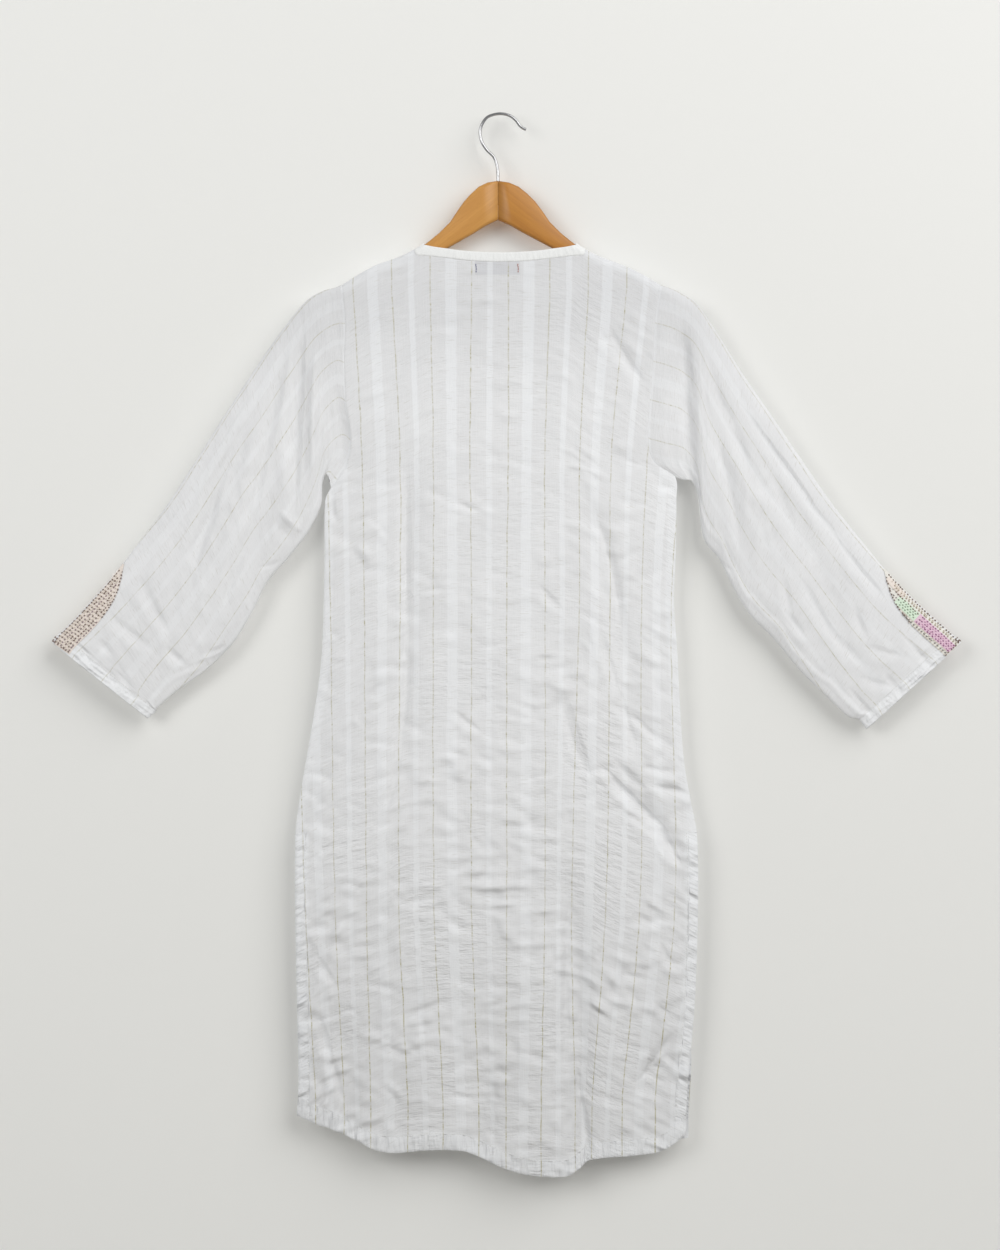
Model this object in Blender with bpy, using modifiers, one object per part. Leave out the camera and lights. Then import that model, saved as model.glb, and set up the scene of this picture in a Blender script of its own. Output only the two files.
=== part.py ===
"""A long white kurta tunic, hung by its shoulders on a flat wooden hanger with a wire hook.

The garment's back faces -Y and its front faces +Y. X runs across, Z is up, and the origin is
the inner crown of the hook, where a rail would carry it. Left and right are as seen from -Y.
Tables are in millimetres, everything else is in metres.
"""
import math
from collections import namedtuple

import bmesh
import bpy
import numpy as np

MM = 0.001

# ------------------------------------------------------------------ driving sizes
CLOTH = 0.0012             # wall of a single layer
TURNED = 0.0024            # wall of a turned hem, cuff or slit edge
BINDING = 0.0020           # wall of the folded neck binding
LABEL = 0.0010             # wall of the woven tape
SEAM = 0.0003              # pieces stand this far apart at a seam
SHOULDER_GAP = 0.0004      # and this far where the seam lies on the shoulder's round
BINDING_GAP = 0.0004

HEM_BAND = 0.021           # height of the turned hem
SLIT_TOP_Z = -0.862        # the side seams end here and the slits begin
BINDING_WIDTH = 0.0100
UNDERARM_RISE = 0.0008     # of the sleeve's lower fold from the panels' corners

SHOULDER_RADIUS = 0.0085   # the cloth rounds over the hanger at this radius, mid wall
SHOULDER_SEAM = -0.008     # path distance from the top fold back to the shoulder seam
NECK_HALF_WIDTH = 0.101    # to the panel edges, at the shoulder seam
NECK_BACK_DROP = 0.026     # below the shoulder seam, along the cloth
NECK_FRONT_DROP = 0.090    # below the shoulder's round, along the cloth
BULGE_POWER = 2.6          # how squarely a panel stands out between its side edges
SLEEVE_POWER = 0.7         # how squarely a sleeve stands out between its folds
ARMPIT_BITE = 0.75         # share of a sleeve's thickness that a full armpit fold takes
FOLD_FADE_OUT = 0.12       # a fold fades from this share beyond each end of its run
FOLD_FADE_IN = 0.15        # to this share inside it
FOLD_EDGE = 0.06           # share of the panel's width over which folds fade at the sides
FRONT_PEEK = 0.004         # the front's right slit edge shows beyond the back's
FRONT_PEEK_START = 1.10    # from this far below the hook

LABEL_LEFT = -0.030
LABEL_RIGHT = 0.024
LABEL_HEIGHT = 0.015
LABEL_DROP = 0.0015        # below the binding

WOOD_THICK = 0.0100
WOOD_EDGE = 0.0035         # rounding of the wood's edges
WOOD_BELOW_CLOTH = 0.0016  # the wood's top, below the middle of the cloth wall
WOOD_JOINT_X = -0.0024     # the glue joint between the hanger's halves
WOOD_SHIFT_REACH = 0.060   # the outline moves across with the joint as far out as this
WOOD_TIP_LENGTH = 0.004    # the arm's rounded end starts this far before its tip
WOOD_TIP_SHOULDER = 0.005  # and drops this far at the top
WOOD_TIP_HEEL = 0.008      # and rises this far at the bottom
WIRE = 0.0035              # diameter of the hook
SHANK_BORE = WIRE + 2 * SEAM
SHANK_DEPTH = 0.030        # how far the hook goes into the wood
BORE_LENGTH = 0.12         # of the cutter, which runs out above the wood
SMOOTH_ANGLE = 40          # degrees; sharper edges of the wood stay crisp

# ------------------------------------------------------------------ tables, millimetres
# The top fold of the shoulders, and of the neck opening between them.
Shoulder = namedtuple("Shoulder", "x z")
SHOULDERS = (
    Shoulder(-190, -204.5),
    Shoulder(-170, -192.0),
    Shoulder(-150, -181.0),
    Shoulder(-120, -170.0),
    Shoulder(-101, -160.5),
    Shoulder(-91, -154.0),
    Shoulder(-79, -150.5),
    Shoulder(-60, -148.0),
    Shoulder(0, -147.0),
    Shoulder(60, -148.0),
    Shoulder(79, -150.5),
    Shoulder(91, -154.0),
    Shoulder(101, -160.5),
    Shoulder(120, -170.0),
    Shoulder(150, -181.5),
    Shoulder(170, -191.0),
    Shoulder(192, -204.0),
)

# The side edge of both panels: armhole first, then side seam, then slit. "apart" is half the
# distance between the two panels there, mid wall.
Edge = namedtuple("Edge", "z x apart")
LEFT_EDGE = (
    Edge(-204, -190, 8.5),
    Edge(-248, -186, 8.5),
    Edge(-298, -187, 8.5),
    Edge(-346, -185, 8.0),
    Edge(-392, -179, 6.5),
    Edge(-424, -186, 3.2),
    Edge(-448, -203, 0.75),
    Edge(-463, -210, 0.75),
    Edge(-535, -211, 0.75),
    Edge(-643, -214, 0.75),
    Edge(-703, -221, 0.75),
    Edge(-775, -233, 0.75),
    Edge(-823, -241, 0.75),
    Edge(-852, -245, 0.75),
    Edge(-870, -246, 3.0),
    Edge(-943, -246, 4.5),
    Edge(-1063, -244, 5.5),
    Edge(-1159, -242, 5.5),
    Edge(-1202, -244, 5.5),
)
RIGHT_EDGE = (
    Edge(-204, 192, 8.5),
    Edge(-248, 186, 8.5),
    Edge(-298, 184, 8.5),
    Edge(-344, 180, 8.0),
    Edge(-391, 178, 6.5),
    Edge(-418, 186, 3.2),
    Edge(-434, 210, 0.75),
    Edge(-463, 212, 0.75),
    Edge(-535, 211, 0.75),
    Edge(-583, 209, 0.75),
    Edge(-643, 213, 0.75),
    Edge(-703, 216, 0.75),
    Edge(-775, 221, 0.75),
    Edge(-823, 229, 0.75),
    Edge(-852, 235, 0.75),
    Edge(-870, 237, 3.0),
    Edge(-943, 238, 4.5),
    Edge(-1063, 234, 5.5),
    Edge(-1159, 226, 5.5),
    Edge(-1208, 223, 5.5),
)
LEFT_UNDERARM_Z = -448
RIGHT_UNDERARM_Z = -434

# How far the middle of each panel stands from the hanger's mid plane.
Depth = namedtuple("Depth", "z back front")
DEPTHS = (
    Depth(-147, 8.5, 8.5),
    Depth(-180, 9.0, 9.0),
    Depth(-250, 10.8, 10.0),
    Depth(-350, 13.0, 11.5),
    Depth(-450, 14.5, 12.5),
    Depth(-600, 16.0, 13.5),
    Depth(-860, 17.5, 14.5),
    Depth(-1100, 18.5, 15.0),
    Depth(-1273, 19.0, 15.0),
)

# The lower edges of the two panels.
Hem = namedtuple("Hem", "x z")
BACK_HEM = (
    Hem(-244, -1202),
    Hem(-202, -1218),
    Hem(-149, -1242),
    Hem(-126, -1245),
    Hem(-47, -1242),
    Hem(-26, -1249),
    Hem(0, -1261),
    Hem(30, -1270),
    Hem(79, -1273),
    Hem(94, -1265),
    Hem(106, -1255),
    Hem(160, -1249),
    Hem(197, -1243),
    Hem(223, -1225),
)
FRONT_HEM = (
    Hem(-244, -1199),
    Hem(-150, -1231),
    Hem(0, -1246),
    Hem(150, -1240),
    Hem(223, -1231),
)

# The largest folds of the back, each a soft groove (depth above 0) or ridge (below 0) along a
# straight run. They are pressed into every piece they cross, on its outer side.
Fold = namedtuple("Fold", "x_top z_top x_low z_low width depth")
FOLDS = (
    Fold(115, -480, 148, -655, 15, 5.0),      # trough below the right shoulder blade
    Fold(148, -640, 163, -770, 15, 3.0),      # the same trough, running on
    Fold(-109, -430, -115, -815, 15, 3.5),    # long trough on the left
    Fold(140, -790, 218, -892, 12, 6.5),      # slanting crease above the right slit
    Fold(66, -700, 100, -800, 14, 3.0),       # short trough, right of the middle
    Fold(84, -920, 101, -1268, 15, 7.5),      # fold that steps the hem
    Fold(-84, -1090, -86, -1245, 32, -4.0),   # hem standing forward, left of the middle
    Fold(-24, -1090, -22, -1250, 20, 3.5),
    Fold(44, -1010, 46, -1272, 30, -5.0),     # hem standing forward, right of the middle
    Fold(-190, -1090, -178, -1230, 18, 4.0),
    Fold(170, -1180, 212, -1110, 16, 4.0),    # creases toward the right slit
    Fold(132, -262, 170, -322, 12, 2.0),      # right shoulder blade
    Fold(-244, -290, -300, -535, 14, 3.0),    # left sleeve
    Fold(-276, -310, -392, -590, 14, 2.5),
    Fold(252, -330, 300, -590, 14, 3.0),      # right sleeve
    Fold(292, -350, 410, -610, 14, 2.5),
)

# A sleeve's sections from armhole to cuff: the outer fold, the underside, half the thickness
# across the flattened tube, and how deep the armpit fold bites into its back (0 to 1). The last
# two sections are the turned cuff.
Section = namedtuple("Section", "x_fold z_fold x_under z_under half fold")
LEFT_SLEEVE = (
    Section(-190, -204, -203, -448, 8.5, 0.0),
    Section(-200, -208, -209, -431, 8.8, 0.8),
    Section(-216, -213, -214.5, -444, 9.0, 0.5),
    Section(-235, -226, -216, -470, 9.2, 0.0),
    Section(-264, -262, -232, -502, 9.5, 0.0),
    Section(-300, -314, -256, -533, 9.5, 0.0),
    Section(-334, -366, -281, -562, 9.0, 0.0),
    Section(-368, -420, -298, -596, 9.0, 0.0),
    Section(-402, -472, -322, -635, 8.5, 0.0),
    Section(-433, -513, -353, -666, 8.0, 0.0),
    Section(-464, -553, -386, -690, 7.5, 0.0),
    Section(-504, -598, -412, -712, 7.0, 0.0),
    Section(-529, -623, -414, -716, 6.5, 0.0),
    Section(-538, -635, -424, -725, 6.5, 0.0),
)
RIGHT_SLEEVE = (
    Section(192, -204, 210, -434, 8.5, 0.0),
    Section(204, -208, 221, -438, 9.0, 0.0),
    Section(219, -215, 232, -441, 9.2, 0.9),
    Section(236, -227, 239, -463, 9.5, 0.0),
    Section(258, -258, 245, -508, 9.5, 0.0),
    Section(292, -312, 264, -534, 9.5, 0.0),
    Section(328, -364, 282, -570, 9.0, 0.0),
    Section(362, -414, 302, -602, 9.0, 0.0),
    Section(398, -466, 330, -630, 8.5, 0.0),
    Section(432, -509, 359, -665, 8.0, 0.0),
    Section(466, -550, 390, -696, 7.5, 0.0),
    Section(504, -589, 418, -722, 7.0, 0.0),
    Section(544, -625, 432, -727, 6.5, 0.0),
    Section(554, -635, 441, -738, 6.5, 0.0),
)
LEFT_FOLD_START = 0.50     # share of the section's height where the armpit fold begins
RIGHT_FOLD_START = 0.12
ARMPIT_EASE = 0.3          # share over which it deepens

# Half the hanger's outline as it shows above the neck: right half, mirrored for the left.
Outline = namedtuple("Outline", "x z")
WOOD_CROWN = (
    Outline(0, -79.0),
    Outline(13, -81.0),
    Outline(24, -86.0),
    Outline(34, -94.5),
    Outline(43, -104.0),
    Outline(51, -115.0),
    Outline(60, -128.5),
    Outline(73, -141.5),
    Outline(84, -150.5),
    Outline(90, -155.2),
)
WOOD_UNDERSIDE = (
    Outline(176, -226.0),
    Outline(154, -213.0),
    Outline(124, -194.0),
    Outline(94, -177.0),
    Outline(62, -159.5),
    Outline(31, -142.5),
    Outline(16, -133.5),
    Outline(0, -126.0),
)
WOOD_TIP_X = 184           # the arm's outer end

# The middle of the wire, from the tip round the hook and down the shank.
Wire = namedtuple("Wire", "x z")
HOOK_ROUTE = (
    Wire(31.2, -17.2),
    Wire(27.6, -15.4),
    Wire(24.0, -12.6),
    Wire(19.2, -6.2),
    Wire(12.0, -0.6),
    Wire(3.0, 1.8),
    Wire(-6.0, 1.2),
    Wire(-15.6, -2.6),
    Wire(-21.6, -10.8),
    Wire(-24.0, -20.6),
    Wire(-21.6, -32.4),
    Wire(-15.6, -42.0),
    Wire(-7.2, -50.6),
    Wire(-3.2, -63.0),
    Wire(-2.4, -78.0),
)
WIRE_STEP = 0.0045

# ------------------------------------------------------------------ mesh density
# Shares of the way from the shoulder's side to the underarm: the stations of an armhole.
ARMHOLE_STATIONS = (0.13, 0.27, 0.41, 0.55, 0.67, 0.77, 0.85, 0.92, 0.965, 1.0)
QUARTER = 0.5 * math.pi
FRONT_ARC = (-0.80, -0.40, 0.0, 0.40, 0.80, 1.20, QUARTER)   # radians over the top fold
BACK_ARC = (-1.10, -QUARTER)
SLEEVE_ARC = (0.0, 0.50, 1.00, QUARTER)
NECK_COLUMNS_BACK = 20
NECK_COLUMNS_FRONT = 16
SHOULDER_COLUMNS_BACK = 7
SHOULDER_COLUMNS_FRONT = 5
LOWER_ROWS_BACK = 21
LOWER_ROWS_FRONT = 13
SLEEVE_ROWS = 18
ARMPIT_SECTIONS = 3        # the sleeve's rows are closer together over its first sections
CUFF_STEP = 0.05           # share of a section in which the cuff's thickness begins
ARMHOLE_SECTIONS = 4       # the sleeve turns from the armhole's shape to its own over these


# ------------------------------------------------------------------ reading the tables
def table(rows):
    """A table as an array in metres, ordered by its first column."""
    values = np.array(rows, dtype=float) * MM
    return values[np.argsort(values[:, 0])]


def smooth(values, at):
    """The table's other columns at one value of its first, on a cubic through its rows."""
    keys = values[:, 0]
    at = min(max(at, keys[0]), keys[-1])
    i = min(max(int(np.searchsorted(keys, at)) - 1, 0), len(keys) - 2)
    slopes = []
    for k in (i, i + 1):
        low = max(k - 1, 0)
        high = min(k + 1, len(keys) - 1)
        slopes.append((values[high] - values[low]) / (keys[high] - keys[low]))
    step = keys[i + 1] - keys[i]
    s = (at - keys[i]) / step
    point = (
        values[i] * (1 + 2 * s) * (1 - s) ** 2
        + slopes[0] * step * s * (1 - s) ** 2
        + values[i + 1] * s * s * (3 - 2 * s)
        - slopes[1] * step * s * s * (1 - s)
    )
    return point[1:]


def ease(value, start, end):
    """0 before start, 1 after end, smooth between them."""
    s = min(max((value - start) / (end - start), 0.0), 1.0)
    return s * s * (3 - 2 * s)


SHOULDER_TABLE = table(SHOULDERS)
LEFT_TABLE = table(LEFT_EDGE)
RIGHT_TABLE = table(RIGHT_EDGE)
DEPTH_TABLE = table(DEPTHS)
BACK_HEM_TABLE = table(BACK_HEM)
FRONT_HEM_TABLE = table(FRONT_HEM)
TIP_LEFT = SHOULDERS[0].x * MM
TIP_RIGHT = SHOULDERS[-1].x * MM


# ------------------------------------------------------------------ the garment's surface
def press_folds(x, z):
    """How far the folds push the outer back surface inward at a place."""
    push = 0.0
    for fold in FOLDS:
        run = np.array([fold.x_low - fold.x_top, fold.z_low - fold.z_top]) * MM
        length = np.hypot(*run)
        reach = np.array([x - fold.x_top * MM, z - fold.z_top * MM])
        along = reach @ run / length ** 2
        across = (reach[0] * run[1] - reach[1] * run[0]) / length
        fade = ease(along, -FOLD_FADE_OUT, FOLD_FADE_IN) * ease(1 - along, -FOLD_FADE_OUT, FOLD_FADE_IN)
        push += fold.depth * MM * fade * math.exp(-(across / (fold.width * MM)) ** 2)
    return push


def over_shoulder(path):
    """Side share (-1 back, 1 front) and drop below the top fold, along a path over it."""
    angle = min(abs(path) / SHOULDER_RADIUS, QUARTER)
    run_on = abs(path) - angle * SHOULDER_RADIUS
    return math.copysign(math.sin(angle), path), SHOULDER_RADIUS * (1 - math.cos(angle)) + run_on


def path_to(z_top, z):
    """The path distance from the top fold down to a height."""
    return SHOULDER_RADIUS * (QUARTER - 1) + (z_top - z)


def body_point(u, path):
    """A point of the body, mid wall. u runs from the left edge to the right one; path is the
    distance from the top fold, below 0 down the back and above 0 down the front."""
    x_top = TIP_LEFT + u * (TIP_RIGHT - TIP_LEFT)
    side, drop = over_shoulder(path)
    z = smooth(SHOULDER_TABLE, x_top)[0] - drop
    x_left, apart_left = smooth(LEFT_TABLE, z)
    x_right, apart_right = smooth(RIGHT_TABLE, z)
    x = x_left + u * (x_right - x_left)
    out = apart_left + u * (apart_right - apart_left)
    depth_back, depth_front = smooth(DEPTH_TABLE, z)
    bulge = 1 - abs(2 * u - 1) ** BULGE_POWER
    if side < 0:
        out += (depth_back - out) * bulge
        edge_fade = ease(min(u, 1 - u), 0.0, FOLD_EDGE)
        out -= press_folds(x, z) * edge_fade * ease(drop, SHOULDER_RADIUS, 5 * SHOULDER_RADIUS)
    else:
        out += (depth_front - out) * bulge
        x += FRONT_PEEK * ease(u, 0.9, 1.0) * ease(-z, FRONT_PEEK_START, FRONT_PEEK_START + 0.06)
    return np.array([x, side * out, z])


def neck_path(u, front):
    """Where the neck opening cuts a panel, as a path distance. Outside the opening it is the
    back's shoulder seam, or the place where the front leaves the shoulder's round."""
    x = TIP_LEFT + u * (TIP_RIGHT - TIP_LEFT)
    inside = max(1 - (x / NECK_HALF_WIDTH) ** 2, 0.0)
    if front:
        return QUARTER * SHOULDER_RADIUS + NECK_FRONT_DROP * math.sqrt(inside)
    return SHOULDER_SEAM - 0.5 * SHOULDER_GAP - NECK_BACK_DROP * math.sqrt(inside)


def column_shares(shoulder_columns, neck_columns):
    """The columns of a panel, closer together where the neck opening turns steep."""
    span = TIP_RIGHT - TIP_LEFT
    left = np.linspace(TIP_LEFT, -NECK_HALF_WIDTH, shoulder_columns + 1)[:-1]
    turn = np.linspace(math.pi, 0, neck_columns + 1)
    right = np.linspace(NECK_HALF_WIDTH, TIP_RIGHT, shoulder_columns + 1)[1:]
    places = np.concatenate([left, NECK_HALF_WIDTH * np.cos(turn), right])
    return (places - TIP_LEFT) / span


def edge_heights(side, lower_rows, hem_z):
    """The heights of a panel's rows on one side edge, below the shoulder's arc."""
    tip_z = (SHOULDERS[0].z if side == "left" else SHOULDERS[-1].z) * MM
    underarm = (LEFT_UNDERARM_Z if side == "left" else RIGHT_UNDERARM_Z) * MM
    start = tip_z - SHOULDER_RADIUS
    heights = [start + share * (underarm - start) for share in ARMHOLE_STATIONS]
    band = hem_z + HEM_BAND
    for k in range(1, lower_rows - 2):
        heights.append(underarm + k / (lower_rows - 3) * (band + 0.001 - underarm))
    return tip_z, heights + [band - 0.001, hem_z + 0.5 * HEM_BAND, hem_z]


def panel_grid(front):
    """The points of a panel, row by row, and its thickness shares."""
    sign = 1 if front else -1
    hem = FRONT_HEM_TABLE if front else BACK_HEM_TABLE
    lower_rows = LOWER_ROWS_FRONT if front else LOWER_ROWS_BACK
    if front:
        shares = column_shares(SHOULDER_COLUMNS_FRONT, NECK_COLUMNS_FRONT)
        arc = FRONT_ARC
    else:
        shares = column_shares(SHOULDER_COLUMNS_BACK, NECK_COLUMNS_BACK)
        arc = BACK_ARC
    starts = {}
    for side in ("left", "right"):
        x_hem = hem[0 if side == "left" else -1][0]
        tip_z, heights = edge_heights(side, lower_rows, smooth(hem, x_hem)[0])
        paths = [SHOULDER_SEAM + sign * 0.5 * SHOULDER_GAP] + [a * SHOULDER_RADIUS for a in arc]
        paths += [sign * path_to(tip_z, z) for z in heights]
        total = paths[-1] - paths[0]
        starts[side] = [(p - paths[0]) / total for p in paths]
    neck_row = len(arc) if front else 0
    rows = []
    for k in range(len(starts["left"])):
        row = []
        for u in shares:
            x_top = TIP_LEFT + u * (TIP_RIGHT - TIP_LEFT)
            z_top = smooth(SHOULDER_TABLE, x_top)[0]
            x_hem = hem[0][0] + u * (hem[-1][0] - hem[0][0])
            last = sign * path_to(z_top, smooth(hem, x_hem)[0])
            if k < neck_row:
                path = SHOULDER_SEAM + 0.5 * SHOULDER_GAP if k == 0 else arc[k - 1] * SHOULDER_RADIUS
            else:
                first = neck_path(u, front)
                below = []
                for share in (starts["left"], starts["right"]):
                    below.append((share[k] - share[neck_row]) / (1 - share[neck_row]))
                path = first + (below[0] + u * (below[1] - below[0])) * (last - first)
            row.append(body_point(u, path))
        rows.append(row)
    return rows, neck_row


# ------------------------------------------------------------------ mesh helpers
def sheet_object(name, rows, wall, material, collection, thick_rows=0, slit_z=-1e6, rolled=False,
                 neck=None):
    """A cloth piece: a grid laid through rows of points, then given its wall. "wall" is that
    of a turned edge: the last thick_rows rows and the side edges below slit_z have it, and
    the rest is half as thick. A rolled piece is joined along its sides. neck is the row,
    first column and last column of a cut-out."""
    down = len(rows) - 1
    across = len(rows[0]) - 1
    bm = bmesh.new()
    bmesh.ops.create_grid(bm, x_segments=across, y_segments=down, size=0.5)
    thickness = bm.verts.layers.deform.verify()
    cut_out = []
    for vert in bm.verts:
        column = round((vert.co.x + 0.5) * across)
        row = round((vert.co.y + 0.5) * down)
        vert.co = rows[row][column]
        turned = row > down - thick_rows
        turned = turned or (column in (0, across) and vert.co.z < slit_z)
        vert[thickness][0] = 1.0 if turned else 0.5
        if neck and row < neck[0] and neck[1] < column < neck[2]:
            cut_out.append(vert)
    bmesh.ops.delete(bm, geom=cut_out, context="VERTS")
    if rolled:
        bmesh.ops.remove_doubles(bm, verts=bm.verts, dist=1e-6)
    bmesh.ops.recalc_face_normals(bm, faces=bm.faces)
    mesh = bpy.data.meshes.new(name)
    bm.to_mesh(mesh)
    bm.free()
    piece = bpy.data.objects.new(name, mesh)
    collection.objects.link(piece)
    piece.vertex_groups.new(name="turned")
    skin = piece.modifiers.new("wall", "SOLIDIFY")
    skin.thickness = wall
    skin.offset = 0.0
    skin.use_even_offset = True
    skin.vertex_group = "turned"
    mesh.materials.append(material)
    mesh.shade_smooth()
    return piece


def finish(name, colour, roughness, metallic=0.0):
    """A plain material."""
    material = bpy.data.materials.new(name)
    material.use_nodes = True
    shader = material.node_tree.nodes["Principled BSDF"]
    shader.inputs["Base Color"].default_value = (*colour, 1.0)
    shader.inputs["Roughness"].default_value = roughness
    shader.inputs["Metallic"].default_value = metallic
    return material


# ------------------------------------------------------------------ front, back, binding, label
def build_panels(collection):
    """The two body panels, from shoulder seam to hem."""
    for name, front, colour in (
        ("back_panel", False, (0.86, 0.87, 0.88)),
        ("front_panel", True, (0.80, 0.81, 0.82)),
    ):
        rows, neck_row = panel_grid(front)
        outer = SHOULDER_COLUMNS_FRONT if front else SHOULDER_COLUMNS_BACK
        sheet_object(
            name, rows, TURNED, finish(name, colour, 0.85), collection,
            thick_rows=3, slit_z=SLIT_TOP_Z, neck=(neck_row, outer, len(rows[0]) - 1 - outer),
        )


def neck_loop():
    """The neck opening, once round, as column shares and path distances."""
    span = TIP_RIGHT - TIP_LEFT
    loop = []
    for k in range(NECK_COLUMNS_BACK):
        x = -NECK_HALF_WIDTH * math.cos(math.pi * k / NECK_COLUMNS_BACK)
        loop.append((x, neck_path((x - TIP_LEFT) / span, False)))
    arc = [SHOULDER_SEAM] + [a * SHOULDER_RADIUS for a in FRONT_ARC]
    loop += [(NECK_HALF_WIDTH, path) for path in arc]
    for k in range(1, NECK_COLUMNS_FRONT):
        x = NECK_HALF_WIDTH * math.cos(math.pi * k / NECK_COLUMNS_FRONT)
        loop.append((x, neck_path((x - TIP_LEFT) / span, True)))
    loop += [(-NECK_HALF_WIDTH, path) for path in arc[:0:-1]]
    return loop


def build_binding(collection):
    """The neck binding: a band on the same surface, between the panels and the opening."""
    span = TIP_RIGHT - TIP_LEFT
    loop = [np.array(place) for place in neck_loop()]
    count = len(loop)
    rows = [[], [], []]
    for k in range(count + 1):
        here = loop[k % count]
        before = here - loop[(k - 1) % count]
        after = loop[(k + 1) % count] - here
        along = before / np.hypot(*before) + after / np.hypot(*after)
        bend = 0.5 * np.hypot(*along)
        inward = np.array([-along[1], along[0]]) / np.hypot(*along)
        for row, reach in zip(rows, (BINDING_GAP / bend, 0.5 * BINDING_WIDTH, BINDING_WIDTH)):
            x, path = here + inward * reach
            if here[1] <= SHOULDER_SEAM:
                path = min(path, SHOULDER_SEAM)
            row.append(body_point((x - TIP_LEFT) / span, path))
    material = finish("neck_binding", (0.92, 0.92, 0.92), 0.8)
    sheet_object("neck_binding", rows, 2 * BINDING, material, collection, rolled=True)


def build_label(collection):
    """A bare label, sewn inside the back neck just below the binding."""
    span = TIP_RIGHT - TIP_LEFT
    inward = 0.5 * CLOTH + SEAM + 0.5 * LABEL
    middle = 0.5 * (LABEL_LEFT + LABEL_RIGHT)
    top = neck_path((middle - TIP_LEFT) / span, False) - LABEL_DROP
    rows = []
    for down in np.linspace(0.0, LABEL_HEIGHT, 3):
        row = []
        for x in np.linspace(LABEL_LEFT, LABEL_RIGHT, 7):
            point = body_point((x - TIP_LEFT) / span, top - down)
            point[1] += inward
            row.append(point)
        rows.append(row)
    material = finish("neck_label", (0.55, 0.58, 0.64), 0.7)
    sheet_object("neck_label", rows, 2 * LABEL, material, collection)


# ------------------------------------------------------------------ sleeves
def armhole_ring(side):
    """Half the armhole as the sleeve meets it, from the top fold to the underarm: points on
    the back panel's edge with the seam's gap, and their share of the way down."""
    edge = 0.0 if side == "left" else 1.0
    out = -1 if side == "left" else 1
    tip_z, heights = edge_heights(side, LOWER_ROWS_BACK, 0.0)
    heights = heights[:len(ARMHOLE_STATIONS)]
    paths = [-a * SHOULDER_RADIUS for a in SLEEVE_ARC] + [-path_to(tip_z, z) for z in heights]
    points = [body_point(edge, path) for path in paths]
    ring = []
    for k, point in enumerate(points):
        along = points[min(k + 1, len(points) - 1)] - points[max(k - 1, 0)]
        level = np.hypot(along[0], along[2])
        if k < len(SLEEVE_ARC) or level < SEAM:
            away = np.array([out, 0.0, 0.0])
        else:
            away = np.array([-along[2], 0.0, along[0]]) / level
            away *= math.copysign(1.0, away[0] * out)
        # the fold at the underarm keeps its own wall clear of the panels' corners
        clear = SEAM + UNDERARM_RISE * ease(k, 0.5 * len(points), len(points) - 1)
        ring.append(point + away * clear)
    ring.append(ring[-1] * (1, 0, 1))
    drop = [(ring[0][2] - point[2]) / (ring[0][2] - ring[-1][2]) for point in ring]
    return ring, drop


def sleeve_rows(side):
    """A sleeve's rows of points, each once round from the underside over the outer fold."""
    sections = LEFT_SLEEVE if side == "left" else RIGHT_SLEEVE
    fold_start = LEFT_FOLD_START if side == "left" else RIGHT_FOLD_START
    values = np.array([(k / MM, *section) for k, section in enumerate(sections)]) * MM
    ring, drop = armhole_ring(side)
    steps = len(ring) - 1
    last = len(sections) - 1
    near = list(np.arange(0.0, ARMPIT_SECTIONS, 0.5))
    even = SLEEVE_ROWS - len(near) - 2
    places = near + list(np.linspace(ARMPIT_SECTIONS, last - 1 - CUFF_STEP, even))
    places += [last - 1 + CUFF_STEP, last]
    rows = []
    for place in places:
        x_fold, z_fold, x_under, z_under, half, bite = smooth(values, place)
        bite /= MM
        settle = ease(place, 0.0, ARMHOLE_SECTIONS)
        halves = {}
        for sign in (-1, 1):
            points = []
            for k in range(steps + 1):
                share = (1 - settle) * drop[k] + settle * 0.5 * (1 - math.cos(math.pi * k / steps))
                x = x_fold + share * (x_under - x_fold)
                z = z_fold + share * (z_under - z_fold)
                # near the armhole the section keeps the armhole's own curve
                first = values[0]
                chord = first[1] + drop[k] * (first[3] - first[1])
                x += (ring[k][0] - chord) * (1 - ease(place, 0.0, ARMPIT_SECTIONS))
                flat = half * max(math.sin(math.pi * k / steps), 0.0) ** SLEEVE_POWER
                if k == steps:
                    flat = 0.0
                deep = (1 - settle) * abs(ring[k][1]) + settle * flat
                if sign < 0:
                    deep *= 1 - ARMPIT_BITE * bite * ease(share, fold_start, fold_start + ARMPIT_EASE)
                    pressed = min(press_folds(x, z) * ease(place, 1.0, ARMPIT_SECTIONS), 0.5 * deep)
                    deep -= pressed * math.sin(math.pi * share)
                points.append(np.array([x, sign * deep, z]))
            halves[sign] = points
        if place == 0.0:
            halves = {sign: [point * (1, -sign, 1) for point in ring] for sign in (-1, 1)}
        rows.append(halves[-1][::-1] + halves[1][1:])
    return rows


def build_sleeves(collection):
    """Both sleeves: long straight tubes, flattened, open at armhole and cuff."""
    for side, colour in (("left", (0.84, 0.85, 0.86)), ("right", (0.84, 0.85, 0.86))):
        name = "sleeve_" + side
        material = finish(name, colour, 0.85)
        rows = sleeve_rows(side)
        sheet_object(name, rows, TURNED, material, collection, thick_rows=2, rolled=True)


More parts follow.
